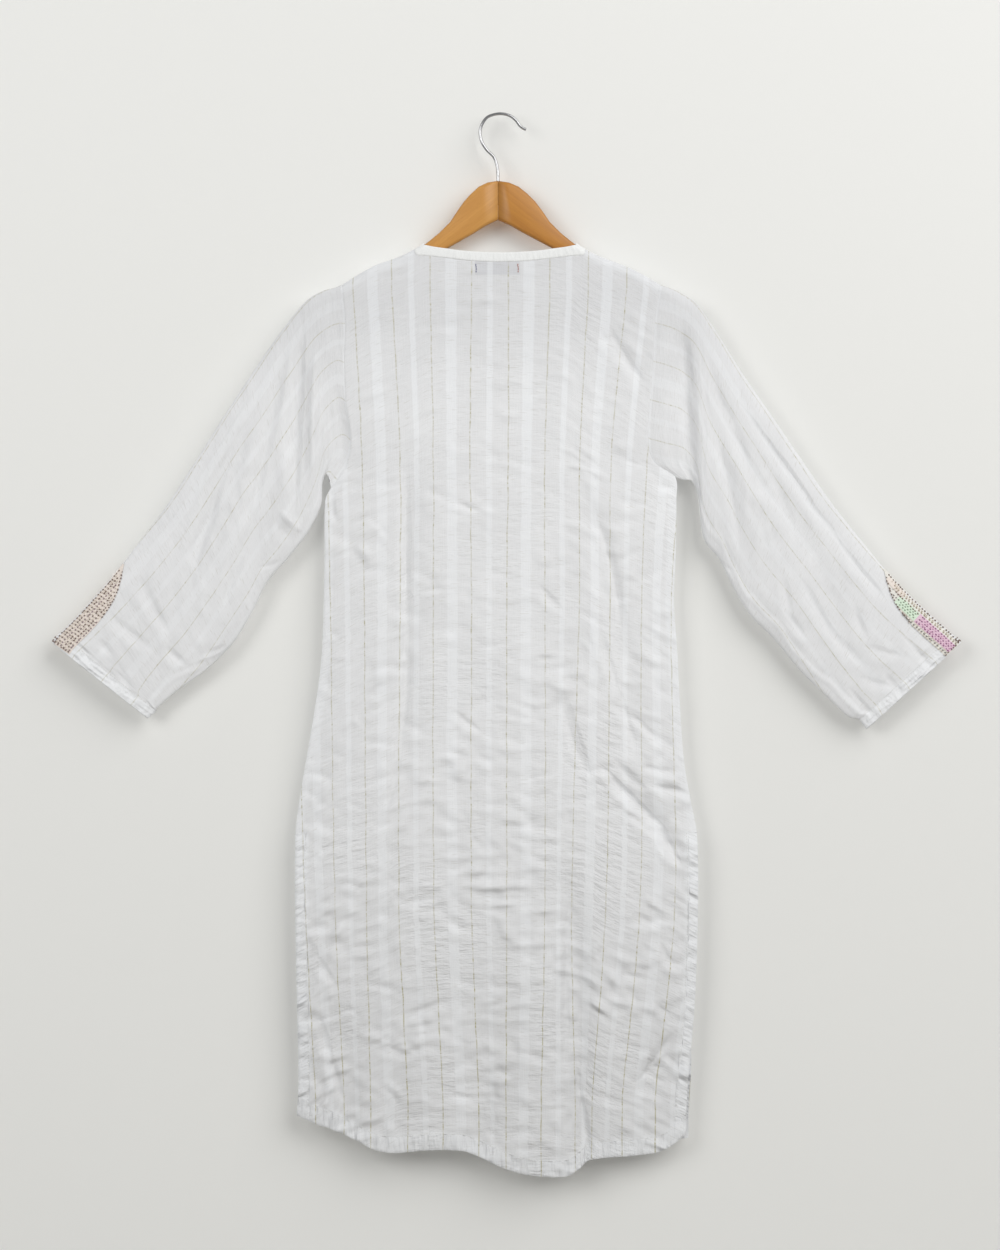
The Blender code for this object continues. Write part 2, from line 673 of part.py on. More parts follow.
# ------------------------------------------------------------------ hanger
def wood_outline(sign):
    """One half of the hanger's outline, from the joint round the arm and back."""
    points = [(sign * p.x * MM, p.z * MM) for p in WOOD_CROWN]
    tip = WOOD_TIP_X * MM
    for x in np.linspace(NECK_HALF_WIDTH, tip - WOOD_TIP_LENGTH, 8):
        points.append((sign * x, smooth(SHOULDER_TABLE, sign * x)[0] - WOOD_BELOW_CLOTH))
    low = WOOD_UNDERSIDE[0].z * MM
    high = points[-1][1]
    points.append((sign * tip, high - WOOD_TIP_SHOULDER))
    points.append((sign * tip, low + WOOD_TIP_HEEL))
    points += [(sign * p.x * MM, p.z * MM) for p in WOOD_UNDERSIDE]
    shifted = []
    for x, z in points:
        fade = 1 - ease(abs(x), 0.0, WOOD_SHIFT_REACH)
        shifted.append((x + WOOD_JOINT_X * fade, z))
    return shifted


def build_hanger(collection, cutters):
    """Two flat wooden arms that meet at a glue joint, bored for the hook's shank."""
    bpy.ops.mesh.primitive_cylinder_add(vertices=16, radius=0.5 * SHANK_BORE, depth=BORE_LENGTH)
    bore = bpy.context.object
    bore.name = "shank_bore"
    shank_end = HOOK_ROUTE[-1].z * MM - SHANK_DEPTH
    bore.location = (WOOD_JOINT_X, 0.0, shank_end - SEAM + 0.5 * BORE_LENGTH)
    bore.display_type = "WIRE"
    bore.hide_render = True
    for other in list(bore.users_collection):
        other.objects.unlink(bore)
    cutters.objects.link(bore)
    for name, sign, colour in (
        ("hanger_arm_left", -1, (0.60, 0.38, 0.18)),
        ("hanger_arm_right", 1, (0.56, 0.29, 0.10)),
    ):
        outline = wood_outline(sign)
        joint = WOOD_JOINT_X + sign * 0.5 * SEAM
        outline[0] = (joint, outline[0][1])
        outline[-1] = (joint, outline[-1][1])
        bm = bmesh.new()
        corners = [bm.verts.new((x, 0.5 * WOOD_THICK, z)) for x, z in outline]
        face = bm.faces.new(corners)
        solid = bmesh.ops.extrude_face_region(bm, geom=[face])
        pushed = [g for g in solid["geom"] if isinstance(g, bmesh.types.BMVert)]
        bmesh.ops.translate(bm, verts=pushed, vec=(0.0, -WOOD_THICK, 0.0))
        bmesh.ops.recalc_face_normals(bm, faces=bm.faces)
        rounded = []
        for edge in bm.edges:
            flat = abs(edge.verts[0].co.y - edge.verts[1].co.y) < 1e-6
            at_joint = all(abs(v.co.x - joint) < 1e-6 for v in edge.verts)
            if flat and not at_joint:
                rounded.append(edge)
        bmesh.ops.bevel(
            bm, geom=rounded, offset=WOOD_EDGE, segments=2, profile=0.5, affect="EDGES", material=-1
        )
        mesh = bpy.data.meshes.new(name)
        bm.to_mesh(mesh)
        bm.free()
        arm = bpy.data.objects.new(name, mesh)
        collection.objects.link(arm)
        mesh.materials.append(finish(name, colour, 0.4))
        mesh.shade_smooth()
        mesh.set_sharp_from_angle(angle=math.radians(SMOOTH_ANGLE))
        cut = arm.modifiers.new("shank", "BOOLEAN")
        cut.object = bore
        cut.operation = "DIFFERENCE"
        cut.solver = "EXACT"


def build_hook(collection):
    """The wire hook: one smooth bend over the rail, with a turned-out tip."""
    route = np.array(HOOK_ROUTE, dtype=float) * MM
    route = np.vstack([route, [WOOD_JOINT_X, route[-1][1] - SHANK_DEPTH]])
    spans = np.hypot(*np.diff(route, axis=0).T)
    places = np.concatenate([[0.0], np.cumsum(spans)])
    values = np.column_stack([places, route])
    count = int(places[-1] / WIRE_STEP)
    curve = bpy.data.curves.new("hanger_hook", "CURVE")
    curve.dimensions = "3D"
    curve.bevel_depth = 0.5 * WIRE
    curve.bevel_resolution = 2
    curve.use_fill_caps = True
    spline = curve.splines.new("POLY")
    spline.points.add(count)
    for k, point in enumerate(spline.points):
        x, z = smooth(values, places[-1] * k / count)
        point.co = (x, 0.0, z, 1.0)
    hook = bpy.data.objects.new("hanger_hook", curve)
    curve.materials.append(finish("hanger_hook", (0.62, 0.62, 0.62), 0.2, metallic=1.0))
    collection.objects.link(hook)


# ------------------------------------------------------------------ build
for old in list(bpy.data.objects):
    bpy.data.objects.remove(old, do_unlink=True)
tunic = bpy.data.collections.new("kurta_tunic_on_hanger")
bpy.context.scene.collection.children.link(tunic)
cutters = bpy.data.collections.new("cutters")
bpy.context.scene.collection.children.link(cutters)

build_panels(tunic)
build_binding(tunic)
build_label(tunic)
build_sleeves(tunic)
build_hanger(tunic, cutters)
build_hook(tunic)
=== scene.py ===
"""A white striped cotton kurta tunic on a wooden hanger, dressed for show on its solids.

The garment's back faces -Y and its front +Y; left and right are as seen from -Y. Tables are in
millimetres, everything else is in metres.
"""
import math
from collections import namedtuple

import bmesh
import bpy
import numpy as np
from mathutils import Matrix, Vector
from mathutils.bvhtree import BVHTree


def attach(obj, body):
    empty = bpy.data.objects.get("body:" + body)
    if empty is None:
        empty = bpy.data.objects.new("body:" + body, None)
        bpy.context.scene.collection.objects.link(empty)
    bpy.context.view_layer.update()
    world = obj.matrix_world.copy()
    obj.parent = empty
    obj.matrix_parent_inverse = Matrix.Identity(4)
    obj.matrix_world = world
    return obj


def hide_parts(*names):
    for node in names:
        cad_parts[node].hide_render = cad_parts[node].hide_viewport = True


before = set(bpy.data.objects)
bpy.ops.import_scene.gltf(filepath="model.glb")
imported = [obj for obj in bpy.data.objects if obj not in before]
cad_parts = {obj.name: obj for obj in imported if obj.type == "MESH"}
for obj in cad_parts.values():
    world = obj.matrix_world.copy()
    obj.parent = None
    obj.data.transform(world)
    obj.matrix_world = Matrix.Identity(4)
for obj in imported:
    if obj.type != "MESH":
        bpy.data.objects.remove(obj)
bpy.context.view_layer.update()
MM = 0.001


# ------------------------------------------------------------------ wire hook
# A bright plated steel wire, bent round a rail and turned out at its tip. Its straight shank is
# pushed into the top of the hanger, where it can turn.
class Finish:
    """A procedural finish: one Principled shader and the nodes that drive it."""

    def __init__(self, name, colour, roughness, metallic=0.0):
        self.material = bpy.data.materials.new(name)
        self.material.use_nodes = True
        self.tree = self.material.node_tree
        self.shader = self.tree.nodes["Principled BSDF"]
        self.give(Base_Color=colour, Roughness=roughness, Metallic=metallic)

    def give(self, **sockets):
        """Sets the shader's own sockets, or links nodes to them. _ stands for a space."""
        for name, value in sockets.items():
            self.join(self.shader.inputs[name.replace("_", " ")], value)

    def join(self, socket, value):
        """Links a node's output to a socket, or sets the socket to a value."""
        if isinstance(value, bpy.types.NodeSocket):
            self.tree.links.new(value, socket)
        elif isinstance(value, tuple) and len(value) == 3 and socket.type == "RGBA":
            socket.default_value = (*value, 1.0)
        else:
            socket.default_value = value

    def node(self, kind, inputs, **settings):
        made = self.tree.nodes.new("ShaderNode" + kind)
        for key, value in settings.items():
            setattr(made, key, value)
        for key, value in inputs.items():
            self.join(made.inputs[key], value)
        return made

    def calc(self, operation, *values):
        return self.node("Math", dict(enumerate(values)), operation=operation).outputs[0]

    def times(self, first, *others):
        """The product of several values."""
        for other in others:
            first = self.calc("MULTIPLY", first, other)
        return first

    def scaled(self, value, factor, start):
        """The start and so many times the value."""
        return self.calc("MULTIPLY_ADD", value, factor, start)

    def ramp(self, value, low, high):
        """0 up to low, 1 from high on, eased between them."""
        inputs = {"Value": value, "From Min": low, "From Max": high}
        return self.node("MapRange", inputs, interpolation_type="SMOOTHSTEP").outputs["Result"]

    def mix(self, factor, first, second):
        """The first colour, turned into the second by a factor."""
        inputs = {0: factor, 6: first, 7: second}
        return self.node("Mix", inputs, data_type="RGBA").outputs[2]

    def stretched(self, vector, scale, turn=(0.0, 0.0, 0.0), shift=(0.0, 0.0, 0.0)):
        inputs = {"Vector": vector, "Scale": scale, "Rotation": turn, "Location": shift}
        return self.node("Mapping", inputs).outputs[0]

    def noise(self, place, scale, detail=3.0, roughness=0.5, shift=(0.0, 0.0, 0.0)):
        """Soft noise about 0.5, scaled up along each axis."""
        place = self.stretched(place, scale, shift=shift)
        inputs = {"Vector": place, "Scale": 1.0, "Detail": detail, "Roughness": roughness}
        return self.node("TexNoise", inputs).outputs["Fac"]

    def object_place(self):
        return self.node("TexCoord", {}).outputs["Object"]

    def cloth_place(self):
        """The cloth's own coordinates, across its pattern and along it."""
        return self.node("UVMap", {}, uv_map="cloth").outputs["UV"]

    def rim(self):
        """0 where a surface faces the eye, up to 1 where it turns away."""
        return self.node("LayerWeight", {"Blend": 0.5}).outputs["Facing"]

    def bump(self, height, distance, *under):
        """Relief of a height times a distance, over the relief under it if there is one."""
        inputs = {"Height": height, "Distance": distance}
        if under:
            inputs["Normal"] = under[0]
        return self.node("Bump", inputs).outputs[0]


Wire = namedtuple("Wire", "x z")
HOOK_ROUTE = (
    Wire(31.2, -17.2),
    Wire(27.6, -15.4),
    Wire(24.0, -12.6),
    Wire(19.2, -6.2),
    Wire(12.0, -0.6),
    Wire(3.0, 1.8),
    Wire(-6.0, 1.2),
    Wire(-15.6, -2.6),
    Wire(-21.6, -10.8),
    Wire(-24.0, -20.6),
    Wire(-21.6, -32.4),
    Wire(-15.6, -42.0),
    Wire(-7.2, -50.6),
    Wire(-3.2, -63.0),
    Wire(-2.4, -78.0),
    Wire(-2.4, -108.0),
)
WIRE_RADIUS = 1.75 * MM
WIRE_STEP = 1.6 * MM       # between the rings of the wire's mesh
WIRE_SHARP = 50            # degrees; only the cut ends are sharper
CHROME_FACE, CHROME_PAINTED_DARK_RIM = (0.50, 0.50, 0.51), (0.07, 0.07, 0.075)
MERGE = 1e-6               # points closer than this are one


def eased(rows, at):
    """A table's other columns at the given values of its first, on a cubic through its rows."""
    keys, values = rows[:, 0], rows[:, 1:]
    at = np.clip(np.asarray(at, dtype=float), keys[0], keys[-1])
    count = len(keys)
    ahead = np.minimum(np.arange(count) + 1, count - 1)
    behind = np.maximum(np.arange(count) - 1, 0)
    slopes = (values[ahead] - values[behind]) / (keys[ahead] - keys[behind])[:, None]
    i = np.clip(np.searchsorted(keys, at) - 1, 0, count - 2)
    step = keys[i + 1] - keys[i]
    s = ((at - keys[i]) / step)[..., None]
    step = step[..., None]
    return (
        values[i] * (1 + 2 * s) * (1 - s) ** 2
        + slopes[i] * step * s * (1 - s) ** 2
        + values[i + 1] * s * s * (3 - 2 * s)
        - slopes[i + 1] * step * s * s * (1 - s)
    )


def finished(name, mesh, *materials):
    """A finished piece, at the origin."""
    piece = bpy.data.objects.new(name, mesh)
    bpy.context.scene.collection.objects.link(piece)
    for material in materials:
        mesh.materials.append(material)
    return piece


def made_mesh(name, bm):
    mesh = bpy.data.meshes.new(name)
    bm.to_mesh(mesh)
    bm.free()
    return mesh


def build_hook():
    route = np.array(HOOK_ROUTE) * MM
    lengths = np.concatenate([[0.0], np.cumsum(np.hypot(*np.diff(route, axis=0).T))])
    steps = np.linspace(0.0, lengths[-1], int(lengths[-1] / WIRE_STEP))
    x, z = eased(np.column_stack([lengths, route]), steps).T
    wire = bpy.data.curves.new("hook_route", "CURVE")
    wire.dimensions = "3D"
    wire.bevel_depth = WIRE_RADIUS
    wire.bevel_resolution = 6
    wire.use_fill_caps = True
    run = wire.splines.new("POLY")
    run.points.add(len(x) - 1)
    run.points.foreach_set("co", np.column_stack([x, 0 * x, z, 0 * x + 1]).ravel())
    drawn = bpy.data.objects.new("hook_route", wire)
    bm = bmesh.new()
    bm.from_mesh(bpy.data.meshes.new_from_object(drawn))
    bpy.data.curves.remove(wire)
    bmesh.ops.remove_doubles(bm, verts=bm.verts, dist=MERGE)
    bmesh.ops.recalc_face_normals(bm, faces=bm.faces)
    mesh = made_mesh("hook_wire", bm)
    mesh.shade_smooth()
    mesh.set_sharp_from_angle(angle=math.radians(WIRE_SHARP))
    chrome = Finish("chrome_wire", CHROME_FACE, 0.18, metallic=1.0)
    # Painted reflection: the wire is painted dark where it turns away from the eye, standing in for a
    # dark room mirrored in the chrome.
    chrome.give(Base_Color=chrome.mix(chrome.ramp(chrome.rim(), 0.15, 0.75), CHROME_FACE, CHROME_PAINTED_DARK_RIM))
    marks = chrome.noise(chrome.object_place(), (900.0, 900.0, 160.0))
    chrome.give(Roughness=chrome.scaled(marks, 0.16, 0.10))
    chrome.give(Normal=chrome.bump(marks, 0.06 * MM))
    hook = finished("hook_wire", mesh, chrome.material)
    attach(hook, "root")
    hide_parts("hanger_hook")


build_hook()


# ------------------------------------------------------------------ wooden arms
# Two flat arms of pale hardwood, glued together at the neck of the hanger, sanded round at the
# edges and given a thin satin lacquer. The right arm is cut from a warmer plank.
Plank = namedtuple("Plank", "side slot light dark lean")
PLANKS = (
    Plank("left", "wood_light", (0.635, 0.315, 0.075), (0.55, 0.255, 0.055), 0.65),
    Plank("right", "wood_warm", (0.51, 0.220, 0.033), (0.43, 0.172, 0.025), -0.65),
)
FLECK, PAINTED_EDGE_SHADE = (0.25, 0.11, 0.03), (0.16, 0.07, 0.025)
WOOD_SHARP = 40            # degrees; the rounded edges are smoother


def lacquered_wood(plank):
    """Wood with its grain along the arm, which leans down from the middle."""
    wood = Finish("wood_" + plank.side, plank.light, 0.42)
    place = wood.stretched(wood.object_place(), (1.0, 1.0, 1.0), turn=(0.0, plank.lean, 0.0))
    fibres = wood.noise(place, (22.0, 420.0, 520.0), detail=4.0, roughness=0.65)
    bands = wood.noise(place, (7.0, 60.0, 130.0))
    grain = wood.calc("ADD", wood.times(bands, 0.6), wood.times(fibres, 0.4))
    lacquer = wood.mix(wood.ramp(grain, 0.33, 0.66), plank.light, plank.dark)
    flecks = wood.noise(place, (160.0, 700.0, 900.0), roughness=0.7)
    lacquer = wood.mix(wood.times(wood.ramp(flecks, 0.50, 0.75), 0.16), lacquer, FLECK)
    # Painted shade: the arm is painted darker brown where its rounded edges turn away from the eye.
    edge = wood.times(wood.ramp(wood.rim(), 0.45, 0.9), 0.55)
    wood.give(Base_Color=wood.mix(edge, lacquer, PAINTED_EDGE_SHADE))
    wood.give(Normal=wood.bump(fibres, 0.25 * MM))
    wood.give(Coat_Weight=0.12, Coat_Roughness=0.3)
    return wood.material


def build_arms():
    for plank in PLANKS:
        name, node = "wood_" + plank.side, "hanger_arm_" + plank.side
        bm = bmesh.new()
        bm.from_mesh(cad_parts[node].data)
        bmesh.ops.remove_doubles(bm, verts=bm.verts, dist=MERGE)
        mesh = made_mesh(name, bm)
        mesh.shade_smooth()
        mesh.set_sharp_from_angle(angle=math.radians(WOOD_SHARP))
        arm = finished(name, mesh, lacquered_wood(plank))
        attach(arm, "root")
        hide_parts(node)


build_arms()


# ------------------------------------------------------------------ back and front panels
# Two long panels of sheer white cotton, cut straight with a little flare, sewn together over the
# shoulders and down the sides, with slits below. The hem and slit edges are turned and stitched.
Shoulder = namedtuple("Shoulder", "x z")
SHOULDERS = (
    Shoulder(-190, -204.5),
    Shoulder(-170, -192.0),
    Shoulder(-150, -181.0),
    Shoulder(-120, -170.0),
    Shoulder(-101, -160.5),
    Shoulder(-91, -154.0),
    Shoulder(-79, -150.5),
    Shoulder(-60, -148.0),
    Shoulder(0, -147.0),
    Shoulder(60, -148.0),
    Shoulder(79, -150.5),
    Shoulder(91, -154.0),
    Shoulder(101, -160.5),
    Shoulder(120, -170.0),
    Shoulder(150, -181.5),
    Shoulder(170, -191.0),
    Shoulder(192, -204.0),
)
Edge = namedtuple("Edge", "z x apart")
LEFT_EDGE = (
    Edge(-204, -190, 8.5),
    Edge(-248, -186, 8.5),
    Edge(-298, -187, 8.5),
    Edge(-346, -185, 8.0),
    Edge(-392, -179, 6.5),
    Edge(-424, -186, 3.2),
    Edge(-448, -203, 0.75),
    Edge(-463, -210, 0.75),
    Edge(-535, -211, 0.75),
    Edge(-643, -214, 0.75),
    Edge(-703, -221, 0.75),
    Edge(-775, -233, 0.75),
    Edge(-823, -241, 0.75),
    Edge(-852, -245, 0.75),
    Edge(-870, -246, 3.0),
    Edge(-943, -246, 4.5),
    Edge(-1063, -244, 5.5),
    Edge(-1159, -242, 5.5),
    Edge(-1202, -244, 5.5),
)
RIGHT_EDGE = (
    Edge(-204, 192, 8.5),
    Edge(-248, 186, 8.5),
    Edge(-298, 184, 8.5),
    Edge(-344, 180, 8.0),
    Edge(-391, 178, 6.5),
    Edge(-418, 186, 3.2),
    Edge(-434, 210, 0.75),
    Edge(-463, 212, 0.75),
    Edge(-535, 211, 0.75),
    Edge(-583, 209, 0.75),
    Edge(-643, 213, 0.75),
    Edge(-703, 216, 0.75),
    Edge(-775, 221, 0.75),
    Edge(-823, 229, 0.75),
    Edge(-852, 235, 0.75),
    Edge(-870, 237, 3.0),
    Edge(-943, 238, 4.5),
    Edge(-1063, 234, 5.5),
    Edge(-1159, 226, 5.5),
    Edge(-1208, 223, 5.5),
)
Depth = namedtuple("Depth", "z back front")
DEPTHS = (
    Depth(-147, 8.5, 8.5),
    Depth(-180, 9.0, 9.0),
    Depth(-250, 10.8, 10.0),
    Depth(-350, 13.0, 11.5),
    Depth(-450, 14.5, 12.5),
    Depth(-600, 16.0, 13.5),
    Depth(-860, 17.5, 14.5),
    Depth(-1100, 18.5, 15.0),
    Depth(-1273, 19.0, 15.0),
)
Hem = namedtuple("Hem", "x z")
BACK_HEM = (
    Hem(-244, -1202),
    Hem(-221, -1212),
    Hem(-202, -1218),
    Hem(-170, -1232),
    Hem(-149, -1242),
    Hem(-126, -1245),
    Hem(-86, -1241),
    Hem(-47, -1242),
    Hem(-26, -1249),
    Hem(0, -1261),
    Hem(30, -1270),
    Hem(79, -1273),
    Hem(94, -1265),
    Hem(106, -1255),
    Hem(128, -1251),
    Hem(160, -1249),
    Hem(197, -1243),
    Hem(223, -1225),
)
FRONT_HEM = (
    Hem(-244, -1199),
    Hem(-150, -1231),
    Hem(0, -1246),
    Hem(150, -1240),
    Hem(223, -1231),
)
# The largest folds, as they are in the solids: grooves above 0, ridges below 0.
Fold = namedtuple("Fold", "x_top z_top x_low z_low width depth")
FOLDS = (
    Fold(115, -480, 148, -655, 15, 5.0),
    Fold(148, -640, 163, -770, 15, 3.0),
    Fold(-109, -430, -115, -815, 15, 3.5),
    Fold(140, -790, 218, -892, 12, 6.5),
    Fold(66, -700, 100, -800, 14, 3.0),
    Fold(84, -920, 101, -1268, 15, 7.5),
    Fold(-84, -1090, -86, -1245, 32, -4.0),
    Fold(-24, -1090, -22, -1250, 20, 3.5),
    Fold(44, -1010, 46, -1272, 30, -5.0),
    Fold(-190, -1090, -178, -1230, 18, 4.0),
    Fold(170, -1180, 212, -1110, 16, 4.0),
    Fold(132, -262, 170, -322, 12, 2.0),
    Fold(-244, -290, -300, -535, 14, 3.0),
    Fold(-276, -310, -392, -590, 14, 2.5),
    Fold(252, -330, 300, -590, 14, 3.0),
    Fold(292, -350, 410, -610, 14, 2.5),
)
# Creases of the back that came with folding and wearing, finer than the folds.
Crease = namedtuple("Crease", "x_top z_top x_low z_low bow width depth")
BACK_CREASES = (
    Crease(118, -487, 146, -613, -4, 5.0, 2.6),
    Crease(118, -612, 142, -691, 3, 5.0, 2.5),
    Crease(142, -691, 162, -763, 0, 5.0, 1.8),
    Crease(78, -703, 108, -793, 6, 5.0, 2.2),
    Crease(-113, -430, -110, -631, 3, 5.6, 2.1),
    Crease(-110, -631, -122, -775, -3, 5.6, 1.6),
    Crease(-122, -775, -136, -835, 0, 5.6, 1.4),
    Crease(124, -785, 192, -853, 4, 5.0, 4.5),
    Crease(192, -853, 216, -901, 5, 5.0, 3.9),
    Crease(140, -776, 176, -812, 3, 4.7, 2.1),
    Crease(156, -721, 184, -748, -2, 5.0, 2.1),
    Crease(182, -806, 226, -816, 2, 5.0, 2.5),
    Crease(170, -784, 214, -790, 2, 5.0, 1.6),
    Crease(150, -838, 196, -872, -3, 5.0, 1.8),
    Crease(176, -740, 212, -760, 3, 5.6, 1.6),
    Crease(132, -259, 168, -319, 3, 5.6, 1.8),
    Crease(120, -262, 150, -300, 3, 5.0, 1.0),
    Crease(48, -565, 72, -594, 4, 4.2, 1.8),
    Crease(-52, -467, -20, -477, 2, 4.2, 1.8),
    Crease(-96, -573, -70, -567, 1, 4.2, 1.4),
    Crease(-54, -718, -24, -740, 2, 4.3, 1.6),
    Crease(-120, -950, -60, -925, 5, 4.6, 1.8),
    Crease(-48, -936, 72, -930, 7, 5.0, 1.4),
    Crease(-28, -958, 40, -948, -5, 5.0, 1.2),
    Crease(-228, -1093, -173, -1073, -4, 4.6, 2.1),
    Crease(-132, -1083, -54, -1060, 3, 4.8, 1.9),
    Crease(192, -997, 208, -1020, 2, 4.4, 1.8),
    Crease(146, -1030, 178, -1038, 2, 4.4, 1.6),
    Crease(186, -1063, 203, -1082, 2, 4.4, 1.8),
    Crease(206, -1105, 168, -1159, 2, 4.6, 2.5),
    Crease(168, -1159, 202, -1129, 3, 4.6, 1.8),
    Crease(202, -1129, 228, -1160, 3, 4.4, 1.6),
    Crease(82, -943, 78, -1135, 3, 5.0, 2.1),
    Crease(90, -1135, 108, -1243, 3, 5.0, 2.8),
    Crease(-216, -1087, -186, -1189, 3, 5.0, 2.1),
    Crease(-202, -448, -198, -487, 5, 4.0, 1.6),
    Crease(-232, -900, -190, -872, -3, 5.0, 1.4),
    Crease(-236, -980, -176, -962, 3, 5.0, 1.4),
    Crease(-222, -1010, -196, -1045, 3, 4.6, 1.4),
    Crease(-160, -1110, -104, -1128, 4, 4.8, 1.4),
    Crease(-40, -1050, 24, -1044, -4, 4.8, 1.2),
    Crease(4, -1120, 62, -1132, 3, 5.0, 1.4),
    Crease(-90, -870, -40, -862, 3, 4.8, 1.0),
    Crease(24, -800, 66, -792, -3, 4.8, 1.0),
    Crease(-160, -700, -130, -676, 3, 4.6, 1.0),
    Crease(-20, -640, 18, -634, 2, 4.4, 0.9),
    Crease(100, -1170, 158, -1190, 3, 4.8, 1.4),
    Crease(-70, -1170, -6, -1186, 3, 5.0, 1.4),
)
FRONT_CREASES = (
    Crease(-110, -500, -142, -640, 4, 5.6, 2.1),
    Crease(104, -470, 118, -700, -4, 6.2, 2.0),
    Crease(-60, -720, -96, -830, 5, 5.6, 1.7),
    Crease(-204, -800, -130, -858, 4, 5.6, 2.2),
    Crease(130, -790, 206, -830, 4, 5.6, 2.0),
    Crease(-40, -900, -52, -1220, 6, 6.8, 2.2),
    Crease(62, -940, 74, -1230, -4, 6.8, 2.1),
    Crease(-90, -980, -20, -962, 5, 5.0, 1.3),
    Crease(20, -1030, 108, -1050, 5, 5.0, 1.3),
    Crease(-180, -1060, -120, -1084, 3, 5.0, 1.4),
    Crease(150, -980, 202, -1004, 3, 5.0, 1.4),
    Crease(-60, -560, -20, -574, 2, 4.6, 1.1),
    Crease(30, -640, 76, -628, 3, 4.6, 1.0),
    Crease(-30, -330, -14, -420, 4, 6.2, 1.1),
    Crease(60, -300, 96, -360, 4, 5.6, 1.1),
    Crease(-140, -270, -170, -340, 3, 5.6, 1.3),
)
# Where each gold thread runs, at five heights down the back.
Thread = namedtuple("Thread", "count neck chest waist hip hem")
THREADS = (
    Thread(-6, -269, -252, -246, -234, -221),
    Thread(-5, -223, -209, -204, -198, -187),
    Thread(-4, -176, -166, -163, -160, -155),
    Thread(-3, -130, -120, -120, -121, -110),
    Thread(-2, -84, -80, -80, -79, -68),
    Thread(-1, -34, -36, -34, -34, -25),
    Thread(0, 10, 10, 8, 8, 7),
    Thread(1, 60, 54, 54, 54, 49),
    Thread(2, 106, 96, 95, 86, 90),
    Thread(3, 152, 134, 132, 127, 110),
    Thread(4, 198, 178, 170, 168, 146),
    Thread(5, 245, 221, 206, 210, 186),
    Thread(6, 290, 264, 246, 252, 228),
)
THREAD_HEIGHTS = (-1183, -943, -583, -403, -211)   # of the hem, hip, waist, chest and neck
REPEAT = 0.045             # from one gold thread to the next

SHEER_WALL = 0.0009        # a single layer
TURNED_WALL = 0.0015       # a turned hem, cuff or slit edge
SEAM = 0.0003              # pieces stand this far apart at a seam
SHOULDER_RADIUS = 0.0085
SHOULDER_SEAM = -0.008     # path from the top fold back to the shoulder seam
NECK_HALF_WIDTH = 0.101
NECK_BACK_DROP = 0.026
NECK_FRONT_DROP = 0.090
BULGE_POWER = 2.6          # how squarely a panel stands out between its side edges
FOLD_FADE = (-0.12, 0.15)  # shares of a fold's run, beyond its end and inside it
FOLD_EDGE = 0.06           # share of the width over which folds fade at the sides
FRONT_PEEK = 0.004         # the front's right slit edge shows beyond the back's
FRONT_PEEK_START = 1.10    # from this far below the hook
HEM_BAND = 0.0215
SLIT_BAND = 0.014
SLIT_TOP = -0.862
BAND_EDGE = 0.0012         # a band's stitched edge rises over this width
ALLOWANCE = 0.010          # the seams' inner edges, which show through
SEAM_SHOWS_BELOW = -0.43   # the side seams above lie behind the sleeves
SEAM_SOLID, CUFF_SEAM_SOLID = 0.6, 0.75    # how solid each looks beside a single layer
HEM_SOLID, SLIT_SOLID = 0.9, 1.0
LABEL_LEFT, LABEL_RIGHT, LABEL_LOW = -0.030, 0.024, -0.193
QUARTER = 0.5 * math.pi


def table(rows):
    """A table in metres, ordered by its first column."""
    values = np.array(rows, dtype=float) * MM
    return values[np.argsort(values[:, 0])]


def ease(value, start, end):
    s = np.clip((value - start) / (end - start), 0.0, 1.0)
    return s * s * (3 - 2 * s)


SHOULDER_TABLE = table(SHOULDERS)
LEFT_TABLE, RIGHT_TABLE, DEPTH_TABLE = table(LEFT_EDGE), table(RIGHT_EDGE), table(DEPTHS)
BACK_HEM_TABLE, FRONT_HEM_TABLE = table(BACK_HEM), table(FRONT_HEM)
TIP_LEFT, TIP_RIGHT = SHOULDER_TABLE[0, 0], SHOULDER_TABLE[-1, 0]


def beside_line(x, z, line):
    """How far along a fold or crease each place lies, as a share of its run, and how far across."""
    run = np.array([line.x_low - line.x_top, line.z_low - line.z_top]) * MM
    length = np.hypot(*run)
    dx, dz = x - line.x_top * MM, z - line.z_top * MM
    return (dx * run[0] + dz * run[1]) / length ** 2, (dx * run[1] - dz * run[0]) / length


def fold_push(x, z):
    """How far the large folds push the outer back surface in."""
    push = np.zeros_like(x)
    for fold in FOLDS:
        along, across = beside_line(x, z, fold)
        fade = ease(along, *FOLD_FADE) * ease(1 - along, *FOLD_FADE)
        push += fold.depth * MM * fade * np.exp(-(across / (fold.width * MM)) ** 2)
    return push


CREASE_FADE = (-0.1, 0.3)  # shares of a crease's run, beyond its end and inside it
RIDGE_APART = 1.7          # of the crease's width, from the trough to the ridge beside it
RIDGE_SHARE = 0.5          # of the trough's depth


def crease_push(x, z, creases):
    """How far creases push the cloth in: soft troughs, each with a lower ridge beside it."""
    push = np.zeros_like(x)
    for crease in creases:
        along, across = beside_line(x, z, crease)
        across = across / MM - crease.bow * (1 - (2 * along - 1) ** 2)
        fade = ease(along, *CREASE_FADE) * ease(1 - along, *CREASE_FADE)
        trough = np.exp(-(across / crease.width) ** 2)
        ridge = np.exp(-(across / crease.width - RIDGE_APART) ** 2)
        push += crease.depth * MM * fade * (trough - RIDGE_SHARE * ridge)
    return push


WEAR_LENGTHS, WEAR_WIDTHS, WEAR_DEPTHS, WEAR_BOW = (14, 52), (3.6, 7.0), (0.35, 1.1), 2.5
WEAR_DEEPENS = 0.7         # by this share, down the cloth


